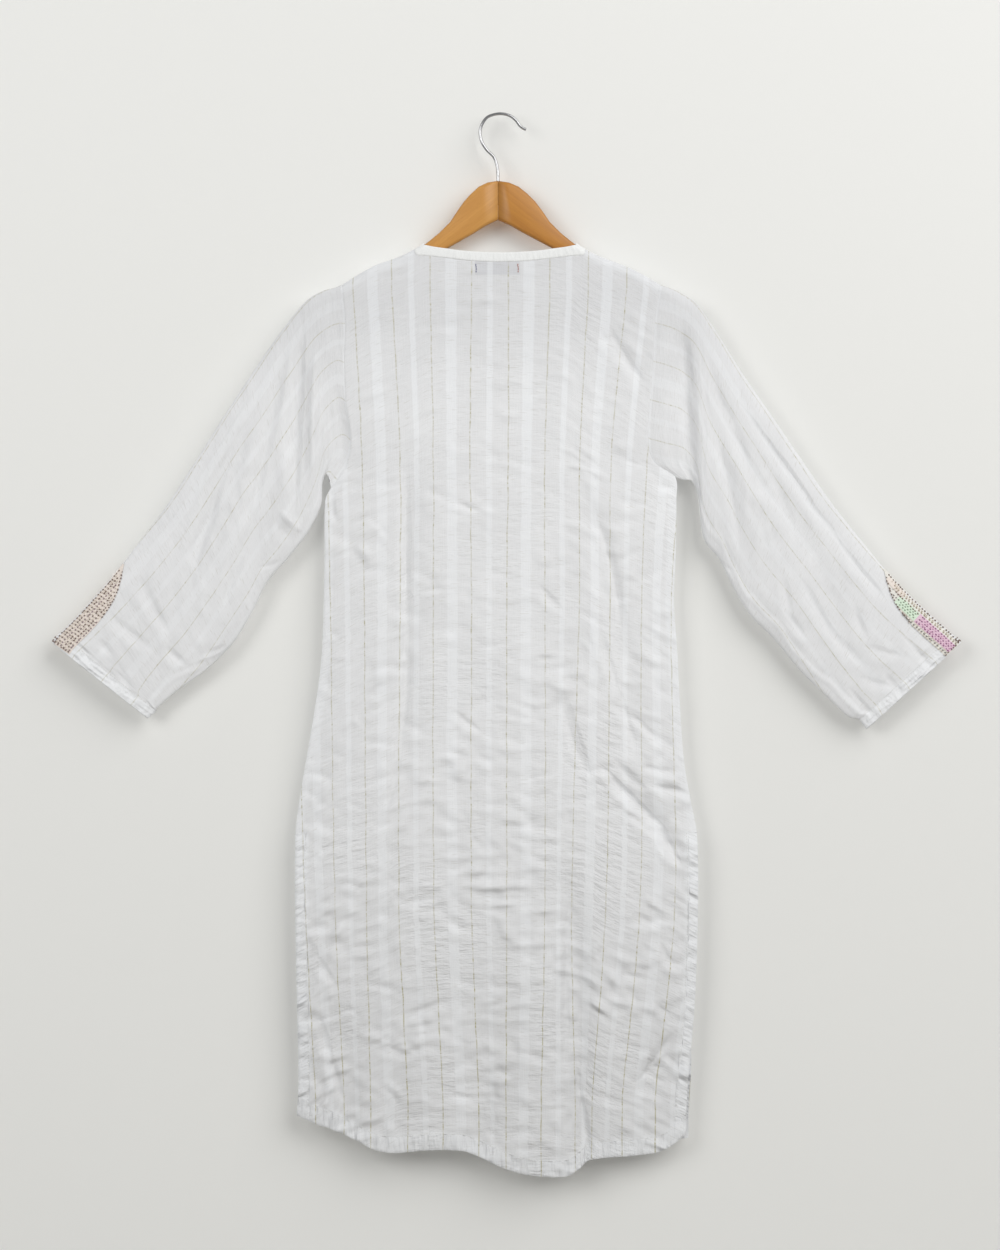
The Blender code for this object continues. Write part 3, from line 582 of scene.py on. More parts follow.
def small_creases(count, low, high, lean, spread, seed, growth=0.0):
    """Many short creases, strewn unevenly over a region and mostly lying one way. With growth they
    are more and deeper down the cloth."""
    draw = np.random.default_rng(seed)
    strewn = []
    while len(strewn) < count:
        x, z = draw.uniform(low, high)
        drop = (high[1] - z) / (high[1] - low[1])
        if draw.random() < growth * (1 - drop):
            continue
        angle = draw.normal(lean, spread)
        half = 0.5 * draw.uniform(*WEAR_LENGTHS)
        dx, dz = half * math.cos(angle), half * math.sin(angle)
        width = draw.uniform(*WEAR_WIDTHS)
        depth = draw.uniform(*WEAR_DEPTHS) * (1 + WEAR_DEEPENS * growth * drop)
        depth *= draw.choice((1, 1, -1))
        bow = draw.normal(0, WEAR_BOW)
        strewn.append(Crease(x - dx, z - dz, x + dx, z + dz, bow, width, depth))
    return tuple(strewn)


BACK_WEAR = small_creases(400, (-245, -1250), (240, -240), 0.0, 0.50, 11, growth=0.9)
FRONT_WEAR = small_creases(160, (-245, -1240), (240, -280), 0.0, 0.45, 23, growth=0.9)


def body_places(u, path):
    """Points of the body, mid wall. u runs from the left edge to the right; path is the distance
    from the top fold, below 0 down the back and above 0 down the front."""
    x_top = TIP_LEFT + u * (TIP_RIGHT - TIP_LEFT)
    angle = np.minimum(np.abs(path) / SHOULDER_RADIUS, QUARTER)
    side = np.sign(path) * np.sin(angle)
    drop = SHOULDER_RADIUS * (1 - np.cos(angle)) + np.abs(path) - angle * SHOULDER_RADIUS
    z = eased(SHOULDER_TABLE, x_top)[..., 0] - drop
    left, right = eased(LEFT_TABLE, z), eased(RIGHT_TABLE, z)
    x = left[..., 0] + u * (right[..., 0] - left[..., 0])
    out = left[..., 1] + u * (right[..., 1] - left[..., 1])
    back, front = eased(DEPTH_TABLE, z)[..., 0], eased(DEPTH_TABLE, z)[..., 1]
    bulge = 1 - np.abs(2 * u - 1) ** BULGE_POWER
    behind = side < 0
    out += (np.where(behind, back, front) - out) * bulge
    settled = ease(drop, SHOULDER_RADIUS, 5 * SHOULDER_RADIUS)
    edge_fade = ease(np.minimum(u, 1 - u), 0.0, FOLD_EDGE)
    out -= np.where(behind, fold_push(x, z) * edge_fade * settled, 0.0)
    peek = ease(u, 0.9, 1.0) * ease(-z, FRONT_PEEK_START, FRONT_PEEK_START + 0.06)
    x += np.where(behind, 0.0, FRONT_PEEK * peek)
    return np.stack([x, side * out, z], axis=-1)


def neck_path(x, front):
    """Where the neck opening cuts a panel, as a path."""
    inside = np.sqrt(np.maximum(1 - (x / NECK_HALF_WIDTH) ** 2, 0.0))
    if front:
        return QUARTER * SHOULDER_RADIUS + NECK_FRONT_DROP * inside
    return SHOULDER_SEAM - 0.5 * SEAM - NECK_BACK_DROP * inside


def stripe_place(x, z):
    """Distance across the cloth's pattern: a whole repeat from each gold thread to the next."""
    threads = np.array(THREADS, dtype=float)
    heights = np.array(THREAD_HEIGHTS) * MM
    runs = eased(np.column_stack([heights, threads[:, :0:-1].T * MM]), z)
    column = np.clip((x[..., None] > runs).sum(-1) - 1, 0, len(threads) - 2)
    low = np.take_along_axis(runs, column[..., None], -1)[..., 0]
    high = np.take_along_axis(runs, column[..., None] + 1, -1)[..., 0]
    return (threads[0, 0] + column + (x - low) / (high - low)) * REPEAT


def thickness_share(turned):
    return (SHEER_WALL + turned * (TURNED_WALL - SHEER_WALL)) / TURNED_WALL


def cloth_piece(name, places, pattern, turned, layers, wall, material, closed=False, cut=None):
    """A cloth shell: a grid laid through places (rows by columns), with its pattern's own
    coordinates, and thicker where it is turned. layers says where more layers show as one."""
    down, across = places.shape[0] - 1, places.shape[1] - 1
    bm = bmesh.new()
    bmesh.ops.create_grid(bm, x_segments=across, y_segments=down, size=0.5)
    mesh = made_mesh(name, bm)
    flat = np.empty(len(mesh.vertices) * 3)
    mesh.vertices.foreach_get("co", flat)
    column = np.rint((flat[0::3] + 0.5) * across).astype(int)
    row = np.rint((flat[1::3] + 0.5) * down).astype(int)
    mesh.vertices.foreach_set("co", places[row, column].ravel())
    corners = np.empty(len(mesh.loops), dtype=int)
    mesh.loops.foreach_get("vertex_index", corners)
    uv = mesh.uv_layers.new(name="cloth")
    uv.data.foreach_set("uv", pattern[row, column][corners].ravel())
    shade = mesh.attributes.new("layers", "FLOAT", "POINT")
    shade.data.foreach_set("value", layers[row, column].astype(np.float32))
    bm = bmesh.new()
    bm.from_mesh(mesh)
    shares = thickness_share(turned[row, column])
    if cut is not None:
        away = cut[row, column]
        shares = shares[~away]
        bm.verts.ensure_lookup_table()
        bmesh.ops.delete(bm, geom=[bm.verts[k] for k in np.flatnonzero(away)], context="VERTS")
    group = bm.verts.layers.deform.verify()
    for vert, share in zip(bm.verts, shares):
        vert[group][0] = share
    if closed:
        bmesh.ops.remove_doubles(bm, verts=bm.verts, dist=MERGE)
    bmesh.ops.recalc_face_normals(bm, faces=bm.faces)
    bm.to_mesh(mesh)
    bm.free()
    mesh.shade_smooth()
    piece = finished(name, mesh, material)
    piece.vertex_groups.new(name="turned")
    skin = piece.modifiers.new("wall", "SOLIDIFY")
    skin.thickness = wall
    skin.offset = 0.0
    skin.use_even_offset = False
    skin.vertex_group = "turned"
    shading = piece.modifiers.new("shading", "WEIGHTED_NORMAL")
    shading.weight = 100
    return piece


SHARP_WIDTH, SHARP_DEPTH = 1.0, 0.40       # of a crease's own width and depth
SHARP_LENGTH = 0.6                         # of its own length, to either side of its middle
WAVER, WAVER_SCALE = 0.0025, 22.0          # of the lines, to either side and for each metre


def pressed(finish, creases):
    """The sharp middles of creases, as a height in millimetres."""
    place = finish.object_place()
    inputs = {"Vector": place, "Scale": WAVER_SCALE, "Detail": 2.0}
    waver = finish.node("TexNoise", inputs, normalize=False).outputs["Color"]
    inputs = {0: waver, 1: (WAVER, WAVER, WAVER), 2: place}
    place = finish.node("VectorMath", inputs, operation="MULTIPLY_ADD").outputs[0]
    height = 0.0
    for crease in creases:
        x, z = crease.x_low - crease.x_top, crease.z_low - crease.z_top
        inputs = {
            "Vector": place,
            "Location": ((crease.x_top + 0.5 * x) * MM, 0.0, (crease.z_top + 0.5 * z) * MM),
            "Rotation": (0.0, -math.atan2(z, x), 0.0),
            "Scale": (SHARP_LENGTH * math.hypot(x, z) * MM, 1.0, SHARP_WIDTH * crease.width * MM),
        }
        inside = finish.node("Mapping", inputs, vector_type="TEXTURE").outputs[0]
        line = finish.node("TexGradient", {"Vector": inside}, gradient_type="SPHERICAL").outputs["Fac"]
        height = finish.scaled(line, -SHARP_DEPTH * crease.depth, height)
    return height


WIDE_STRIPE, NARROWER, STRIPE_EDGE = 0.0061, 0.0026, 0.0011    # half widths of the white stripes
GOLD_EDGE, GOLD_CORE = 0.0011, 0.0003                          # and of a gold thread
STRIPE_WANDER = 0.003      # how far they wander from side to side
PANEL_STRIPES, SLEEVE_STRIPES = 0.9, 0.4                       # how strongly they show
UNDYED, COTTON_ROUGH = (0.8, 0.8, 0.8), 0.86
SHEER_THIN, SHEER_THICK = (0.742, 0.746, 0.758), (0.848, 0.852, 0.864)
WHITE_THIN, WHITE_THICK = (0.84, 0.855, 0.88), (0.895, 0.905, 0.92)
SLUB, GOLD = (0.52, 0.50, 0.45), (0.43, 0.40, 0.25)
PAINTED_HOLLOW_SHADE, PAINTED_LOW_SHADE, PAINTED_LABEL_SHADOW = (0.13, 0.13, 0.15), (0.2, 0.2, 0.2), (0.30, 0.31, 0.38)
RUMPLE, GATHER, WEAVE = 0.0034, 0.0046, 0.00022                # heights of the relief
Crush = namedtuple("Crush", "across along turn height")
CRUSHES = (
    Crush(20.0, 56.0, 0.12, 0.0050),
    Crush(34.0, 38.0, 0.70, 0.0046),
)


class Cotton(Finish):
    """Sheer white cotton with dense white stripes, gold threads, slubs and puckers between."""

    def __init__(self, name):
        super().__init__(name, UNDYED, COTTON_ROUGH)
        self.place = self.cloth_place()
        across, self.along = self.node("SeparateXYZ", {"Vector": self.place}).outputs[:2]
        self.x, _, self.z = self.node("SeparateXYZ", {"Vector": self.object_place()}).outputs
        self.layers = self.node("Attribute", {}, attribute_name="layers").outputs["Fac"]
        self.slubs = self.noise(self.place, (60.0, 900.0, 1.0), detail=4.0, roughness=0.7)
        self.warp = self.noise(self.place, (900.0, 24.0, 1.0), roughness=0.7)
        wander = self.noise(self.place, (4.0, 26.0, 1.0), detail=2.0)
        across = self.scaled(self.calc("SUBTRACT", wander, 0.5), STRIPE_WANDER, across)
        repeat = self.calc("DIVIDE", across, REPEAT)
        self.to_gold = self.times(self.calc("PINGPONG", repeat, 0.5), REPEAT)
        narrow = self.calc("PINGPONG", self.calc("FLOOR", repeat), 1.0)
        half = self.scaled(narrow, -NARROWER, WIDE_STRIPE)
        to_white = self.calc("SUBTRACT", 0.5 * REPEAT, self.to_gold)
        self.white = self.ramp(self.calc("SUBTRACT", half, to_white), -STRIPE_EDGE, STRIPE_EDGE)

    def ground(self, stripes, label):
        """The cloth's colour: whiter where it is denser, with painted shade near the top and lower down,
        and a painted shadow where the label lies behind it.
        """
        cloud = self.noise(self.place, (16.0, 16.0, 1.0), detail=4.0)
        tone = self.calc("ADD", self.times(self.slubs, 0.5), self.times(self.warp, 0.3))
        tone = self.ramp(self.calc("ADD", tone, self.times(cloud, 0.4)), 0.3, 0.9)
        sheer = self.mix(tone, SHEER_THIN, SHEER_THICK)
        fresh = self.scaled(self.ramp(self.z, -0.55, -0.20), 0.30, 0.62)
        fresh = self.scaled(self.ramp(self.z, -1.15, -0.60), 0.08, fresh)
        dense = self.calc("MAXIMUM", self.times(self.white, stripes, fresh), self.times(self.layers, 0.9))
        ground = self.mix(dense, sheer, self.mix(tone, WHITE_THIN, WHITE_THICK))
        # Painted shade near the top, where the dark hollow behind the sheer cloth would show through.
        hollow = self.times(self.ramp(self.z, -0.36, -0.21), 0.13)
        ground = self.mix(hollow, ground, PAINTED_HOLLOW_SHADE)
        weft = self.noise(self.place, (70.0, 800.0, 1.0), detail=1.0, shift=(0.2, 0.6, 0.0))
        ground = self.mix(self.times(self.ramp(weft, 0.62, 0.72), 0.3), ground, SLUB)
        # Painted shadow of the label that lies behind the back, fainter on the dense stripes.
        on_label = self.times(
            self.ramp(self.x, LABEL_LEFT - MM, LABEL_LEFT + MM),
            self.ramp(self.x, LABEL_RIGHT + MM, LABEL_RIGHT - MM),
            self.ramp(self.z, LABEL_LOW - MM, LABEL_LOW + MM),
        )
        label_shadow = self.times(on_label, self.scaled(self.white, -0.6, 1.0), label)
        ground = self.mix(label_shadow, ground, PAINTED_LABEL_SHADOW)
        # Painted shade: the cloth is painted darker towards the hem, where less light falls.
        return self.mix(self.times(self.ramp(self.z, -0.70, -1.20), 0.13), ground, PAINTED_LOW_SHADE)

    def gold(self, stripes):
        """Where a gold thread shows, in dashes and knots, more of it near the hem."""
        dashes = self.noise(self.place, (11.0, 150.0, 1.0), detail=2.0)
        knots = self.noise(self.place, (15.0, 330.0, 1.0), detail=1.0, shift=(0.3, 0.1, 0.0))
        shine = self.scaled(self.ramp(dashes, 0.36, 0.62), 0.40, 0.14)
        shine = self.scaled(self.ramp(knots, 0.58, 0.68), 0.40, shine)
        fuller = self.scaled(self.ramp(self.z, -0.95, -1.10), 0.45, 0.82)
        thread = self.ramp(self.to_gold, GOLD_EDGE, GOLD_CORE)
        return self.calc("MINIMUM", self.times(thread, shine, 0.65 + 0.55 * stripes, fuller), 1.0)

    def relief(self, puckers, creases):
        """Rumples between the stripes, pressed creases, crushed patches, puckered bands and weave."""
        patches = self.noise(self.place, (9.0, 9.0, 1.0), detail=2.0, shift=(0.4, 0.8, 0.0))
        grow = self.scaled(self.ramp(self.along, 0.2, 1.1), 0.8 * puckers, 0.5 * puckers)
        rumple = self.calc("SUBTRACT", self.noise(self.place, (30.0, 120.0, 1.0), roughness=0.6), 0.5)
        loose = self.scaled(self.white, -0.8, 1.0)
        relief = self.bump(self.times(rumple, loose, self.ramp(patches, 0.62, 0.30), grow), RUMPLE)
        relief = self.bump(pressed(self, creases), MM, relief)
        grow = self.times(grow, self.ramp(patches, 0.38, 0.62))
        for crush in CRUSHES:
            scale, turn = (crush.across, crush.along, 1.0), (0.0, 0.0, crush.turn)
            inputs = {"Vector": self.stretched(self.place, scale, turn=turn), "Scale": 1.0, "Detail": 2.0}
            ridges = self.node("TexNoise", inputs, noise_type="RIDGED_MULTIFRACTAL").outputs["Fac"]
            relief = self.bump(self.times(ridges, grow), crush.height, relief)
        upright = self.noise(self.place, (105.0, 24.0, 1.0), detail=2.0)
        level = self.noise(self.place, (24.0, 105.0, 1.0), detail=2.0)
        on_slit = self.ramp(self.layers, 0.5 * (HEM_SOLID + SLIT_SOLID), SLIT_SOLID)
        gathers = self.node("Mix", {0: on_slit, 2: upright, 3: level}).outputs[0]
        bands = self.ramp(self.layers, CUFF_SEAM_SOLID, HEM_SOLID)
        gathers = self.times(self.calc("SUBTRACT", gathers, 0.5), bands)
        relief = self.bump(gathers, GATHER * puckers, relief)
        return self.bump(self.calc("ADD", self.slubs, self.warp), WEAVE, relief)


def striped_cotton(name, stripes, puckers, creases, label=0.0):
    """The striped cloth; stripes, puckers and the painted shadow of the label behind it show by a share
    each.
    """
    cotton = Cotton(name)
    cotton.give(Base_Color=cotton.mix(cotton.gold(stripes), cotton.ground(stripes, label), GOLD))
    cotton.give(Normal=cotton.relief(puckers, creases))
    cotton.give(Sheen_Weight=0.15, Sheen_Roughness=0.5, Specular_IOR_Level=0.25)
    return cotton.material


Panel = namedtuple("Panel", "name side hem creases wear cotton label columns rows")
PANELS = (
    Panel("back", -1, BACK_HEM_TABLE, BACK_CREASES, BACK_WEAR, "striped_cotton", 0.17, 150, 296),
    Panel("front", 1, FRONT_HEM_TABLE, FRONT_CREASES, FRONT_WEAR, "front_cotton", 0.0, 110, 220),
)
NECK_COLUMNS = 0.56        # share of a panel's columns that lie under the neck
ARC_ROWS = 8               # of the front, over the round of the shoulder
PUCKER = 0.0008            # height of the small waves along a turned edge
SLIT_WAVES, HEM_WAVES = (0.0023, 0.011), (0.0024, 0.013)       # how long, and how far they drift
CALM_SIDE, CALM_TOP = (0.0, 0.012), (0.01, 0.03)               # creases fade out to an edge
CALM_TURNED = 0.6          # share of a crease that a turned edge holds flat


def puckered(run, wave, drift):
    """Uneven small waves along a turned edge."""
    return PUCKER * np.sin(run / wave + 3 * np.sin(run / drift))


def build_panel(panel):
    side = panel.side
    inner = int(panel.columns * NECK_COLUMNS)
    outer = (panel.columns - inner) // 2
    x_top = np.concatenate([
        np.linspace(TIP_LEFT, -NECK_HALF_WIDTH, outer + 1)[:-1],
        NECK_HALF_WIDTH * np.cos(np.linspace(math.pi, 0.0, inner)),
        np.linspace(NECK_HALF_WIDTH, TIP_RIGHT, outer + 1)[1:],
    ])
    u = (x_top - TIP_LEFT) / (TIP_RIGHT - TIP_LEFT)
    z_top = eased(SHOULDER_TABLE, x_top)[:, 0]
    hem = panel.hem
    z_hem = eased(hem, hem[0, 0] + u * (hem[-1, 0] - hem[0, 0]))[:, 0]
    last = side * (SHOULDER_RADIUS * (QUARTER - 1) + z_top - z_hem)
    first = neck_path(x_top, side > 0)
    share = np.linspace(0.0, 1.0, panel.rows)[:, None]
    path = first + share * (last - first)
    cut = None
    if side > 0:
        seam = SHOULDER_SEAM + 0.5 * SEAM
        over = np.linspace(seam, QUARTER * SHOULDER_RADIUS, ARC_ROWS + 1)[:-1, None]
        path = np.vstack([np.repeat(over, len(u), axis=1), path])
        cut = np.zeros(path.shape, dtype=bool)
        cut[:ARC_ROWS, outer + 1:outer + inner - 1] = True
    u = np.broadcast_to(u, path.shape)
    places = body_places(u, path)
    x, _, z = np.moveaxis(places, -1, 0)
    to_side = np.minimum(u, 1 - u) * np.ptp(x, axis=1)[:, None]
    slit = (z < SLIT_TOP) * ease(SLIT_BAND + 0.5 * BAND_EDGE - to_side, 0.0, BAND_EDGE)
    band = ease(HEM_BAND + 0.5 * BAND_EDGE - (z - z_hem), 0.0, BAND_EDGE)
    turned = np.maximum(slit, band)
    calm = ease(to_side, *CALM_SIDE) * ease(np.abs(path), *CALM_TOP) * (1 - CALM_TURNED * turned)
    push = crease_push(x, z, panel.creases + panel.wear) * calm
    push += puckered(z, *SLIT_WAVES) * slit + puckered(x, *HEM_WAVES) * band
    places[..., 1] -= side * push
    seam_side = ease(ALLOWANCE - to_side, -MM, MM) * (z > SLIT_TOP) * (z < SEAM_SHOWS_BELOW)
    seam_top = ease(ALLOWANCE - np.abs(path - SHOULDER_SEAM), -MM, MM)
    seams = SEAM_SOLID * np.maximum(seam_side, seam_top * (np.abs(x_top) > NECK_HALF_WIDTH))
    layers = np.maximum(np.maximum(SLIT_SOLID * slit * (1 - band), HEM_SOLID * band), seams)
    pattern = np.stack([stripe_place(x, z), np.abs(path)], axis=-1)
    cotton = striped_cotton(panel.cotton, PANEL_STRIPES, 1.0, panel.creases, panel.label)
    piece = cloth_piece(
        "cloth_" + panel.name, places, pattern, turned, layers, TURNED_WALL, cotton, cut=cut
    )
    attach(piece, "root")
    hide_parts(panel.name + "_panel")
    return piece


back, front = (build_panel(panel) for panel in PANELS)


# ------------------------------------------------------------------ sleeves
# Long straight sleeves of the same cloth, each one piece folded over the arm and sewn along its
# underside, with its stripes running from shoulder to cuff. The cuff is turned and stitched.
Section = namedtuple("Section", "x_fold z_fold x_under z_under half bite first_thread last_thread")
LEFT_SLEEVE = (
    Section(-190, -204, -203, -448, 8.5, 0.0, 0.00, 5.20),
    Section(-200, -208, -209, -431, 8.8, 0.8, 0.00, 5.05),
    Section(-216, -213, -214.5, -444, 9.0, 0.5, -0.03, 4.90),
    Section(-235, -226, -216, -470, 9.2, 0.0, -0.06, 4.75),
    Section(-264, -262, -232, -502, 9.5, 0.0, -0.08, 4.55),
    Section(-300, -314, -256, -533, 9.5, 0.0, -0.10, 4.40),
    Section(-334, -366, -281, -562, 9.0, 0.0, -0.10, 4.40),
    Section(-368, -420, -298, -596, 9.0, 0.0, -0.10, 4.45),
    Section(-402, -472, -322, -635, 8.5, 0.0, -0.08, 4.50),
    Section(-433, -513, -353, -666, 8.0, 0.0, 0.00, 4.25),
    Section(-464, -553, -386, -690, 7.5, 0.0, 0.10, 4.00),
    Section(-504, -598, -412, -712, 7.0, 0.0, 0.22, 3.75),
    Section(-529, -623, -414, -716, 6.5, 0.0, 0.30, 3.60),
    Section(-538, -635, -424, -725, 6.5, 0.0, 0.33, 3.55),
)
RIGHT_SLEEVE = (
    Section(192, -204, 210, -434, 8.5, 0.0, 0.00, 5.00),
    Section(204, -208, 221, -438, 9.0, 0.0, 0.00, 4.95),
    Section(219, -215, 232, -441, 9.2, 0.9, -0.03, 4.85),
    Section(236, -227, 239, -463, 9.5, 0.0, -0.06, 4.70),
    Section(258, -258, 245, -508, 9.5, 0.0, -0.08, 4.60),
    Section(292, -312, 264, -534, 9.5, 0.0, -0.10, 4.45),
    Section(328, -364, 282, -570, 9.0, 0.0, -0.12, 4.40),
    Section(362, -414, 302, -602, 9.0, 0.0, -0.14, 4.40),
    Section(398, -466, 330, -630, 8.5, 0.0, -0.14, 4.40),
    Section(432, -509, 359, -665, 8.0, 0.0, -0.10, 4.25),
    Section(466, -550, 390, -696, 7.5, 0.0, -0.05, 4.00),
    Section(504, -589, 418, -722, 7.0, 0.0, 0.05, 3.80),
    Section(544, -625, 432, -727, 6.5, 0.0, 0.12, 3.60),
    Section(554, -635, 441, -738, 6.5, 0.0, 0.15, 3.55),
)
ARMHOLE_STATIONS = (0.13, 0.27, 0.41, 0.55, 0.67, 0.77, 0.85, 0.92, 0.965, 1.0)
ARMHOLE_LAP = 0.0006       # how far the sleeve's edge reaches in past the panels'
SLEEVE_POWER = 0.7         # how squarely a flattened sleeve stands out between its folds
SLEEVE_LENGTH = 0.560
CUFF_BAND = 0.0150
LEFT_SLEEVE_CREASES = (
    Crease(-238, -262, -246, -470, 4, 6.8, 4.5),
    Crease(-222, -285, -224, -440, 2, 6.2, -3.3),
    Crease(-256, -286, -300, -500, 6, 6.8, 3.3),
    Crease(-250, -345, -258, -420, 2, 5.6, 2.3),
    Crease(-290, -330, -352, -440, 4, 7.4, -2.9),
    Crease(-318, -380, -372, -570, 8, 6.2, 2.9),
    Crease(-340, -455, -370, -530, -4, 6.2, 1.8),
    Crease(-300, -500, -330, -585, 4, 5.6, 2.3),
    Crease(-262, -478, -240, -500, 2, 7.4, -4.1),
    Crease(-290, -545, -266, -536, 1, 4.2, 1.8),
    Crease(-292, -560, -302, -590, 2, 4.2, 1.7),
    Crease(-354, -650, -332, -638, 2, 5.0, 2.7),
    Crease(-378, -668, -338, -650, 3, 4.8, 2.3),
    Crease(-378, -684, -318, -636, 4, 4.6, 2.7),
    Crease(-400, -640, -378, -660, 3, 5.6, 2.8),
    Crease(-480, -632, -466, -648, 2, 5.6, 1.8),
    Crease(-470, -600, -420, -640, 4, 6.2, 1.7),
    Crease(-430, -560, -400, -620, 4, 6.2, 1.7),
    Crease(-500, -640, -490, -660, 1, 4.4, 1.5),
    Crease(-470, -668, -462, -684, 1, 4.4, 1.5),
    Crease(-448, -690, -438, -704, 1, 4.4, 1.3),
    Crease(-430, -450, -470, -520, 3, 6.2, 1.5),
)
RIGHT_SLEEVE_CREASES = (
    Crease(222, -262, 228, -330, 3, 6.2, 2.3),
    Crease(224, -330, 232, -420, 2, 6.8, 3.7),
    Crease(294, -355, 406, -512, 3, 4.6, 3.2),
    Crease(406, -512, 462, -584, 2, 4.6, 2.6),
    Crease(486, -630, 522, -664, 2, 4.4, 2.1),
    Crease(250, -300, 300, -420, 4, 6.2, 1.8),
    Crease(276, -380, 330, -470, 4, 6.8, 2.3),
    Crease(262, -400, 288, -520, -4, 6.2, 2.2),
    Crease(270, -520, 284, -560, 2, 5.0, 1.8),
    Crease(330, -440, 352, -500, 3, 6.2, 1.4),
    Crease(362, -560, 410, -640, 4, 5.0, 2.1),
    Crease(340, -560, 350, -600, 2, 5.0, 2.1),
    Crease(342, -596, 366, -628, 2, 5.0, 1.8),
    Crease(424, -590, 440, -630, 2, 5.6, 1.9),
    Crease(400, -625, 436, -660, 3, 5.6, 1.8),
    Crease(440, -640, 480, -650, 3, 5.0, 1.8),
    Crease(432, -676, 470, -688, 3, 5.0, 1.4),
    Crease(420, -690, 448, -724, 2, 4.6, 2.1),
    Crease(460, -670, 478, -690, 2, 4.6, 1.4),
    Crease(262, -536, 280, -550, -2, 4.4, 1.8),
    Crease(310, -610, 330, -640, 2, 5.0, 1.2),
)
SLEEVE_CREASES = LEFT_SLEEVE_CREASES + RIGHT_SLEEVE_CREASES
SLEEVE_PUCKERS = 0.65      # of the body's
SLEEVE_COTTON = striped_cotton("sleeve_cotton", SLEEVE_STRIPES, SLEEVE_PUCKERS, SLEEVE_CREASES)
SLEEVE_COLUMNS = 44        # from the underside to the outer fold
SLEEVE_ROWS = 176
Sleeve = namedtuple("Sleeve", "sections creases low high lean seeds underarm armpit")
SLEEVES = {
    "left": Sleeve(
        LEFT_SLEEVE, LEFT_SLEEVE_CREASES, (-545, -730), (-215, -230), 0.9, (31, 53), -0.448, 0.50
    ),
    "right": Sleeve(
        RIGHT_SLEEVE, RIGHT_SLEEVE_CREASES, (235, -735), (560, -230), -0.9, (47, 61), -0.434, 0.12
    ),
}
ARMPIT_BITE = 0.75         # share of the depth that the armpit's hollow takes
ARMPIT_RUN = 0.3           # share of the way round in which it deepens
THINNEST = 0.0006          # the least half depth that creases leave a sleeve
SEAM_RIDGE, SEAM_GROOVE, SEAM_WIDE = 0.93, 0.90, 0.016         # shares of the way round
SEAM_HIGH = 0.0010         # the underside's seam, pressed to one side
# Sections from the armhole in which each of these comes in, or the armhole's form goes out.
SETTLE_IN, ARMHOLE_OUT, FOLDS_IN = (0.0, 4.0), (0.0, 3.0), (1.0, 3.0)
CREASES_IN, SEAM_IN = (0.15, 1.2), (1.5, 3.0)


def armhole_ring(side, turns):
    """Half the armhole as the sleeve meets it, at turns from the top fold (0) to the underarm, and
    how far down it each turn lies."""
    edge, out, tip = (0.0, -1, SHOULDERS[0]) if side == "left" else (1.0, 1, SHOULDERS[-1])
    tip_z = tip.z * MM
    start = tip_z - SHOULDER_RADIUS
    stations = start + np.array(ARMHOLE_STATIONS) * (SLEEVES[side].underarm - start)
    over = [0.0, 0.5 * SHOULDER_RADIUS, 1.0 * SHOULDER_RADIUS, QUARTER * SHOULDER_RADIUS]
    paths = np.concatenate([over, SHOULDER_RADIUS * (QUARTER - 1) + tip_z - stations])
    steps = len(paths)
    at = turns * steps
    path = np.interp(at, np.arange(steps), paths)
    points = body_places(np.full_like(path, edge), -path)
    along = np.gradient(points, axis=0)
    level = np.hypot(along[:, 0], along[:, 2])
    away = np.stack([-along[:, 2], np.zeros_like(level), along[:, 0]], -1)
    away /= np.maximum(level, MERGE)[:, None]
    away *= np.where(away[:, :1] * out < 0, -1.0, 1.0)
    flat = (at <= len(over) - 1) | (level < MERGE)
    away[flat] = (out, 0.0, 0.0)
    points -= away * ARMHOLE_LAP
    closing = np.clip(steps - at, 0.0, 1.0)
    points[:, 1] *= closing
    drop = (points[0, 2] - points[:, 2]) / (points[0, 2] - points[-1, 2])
    return points, drop


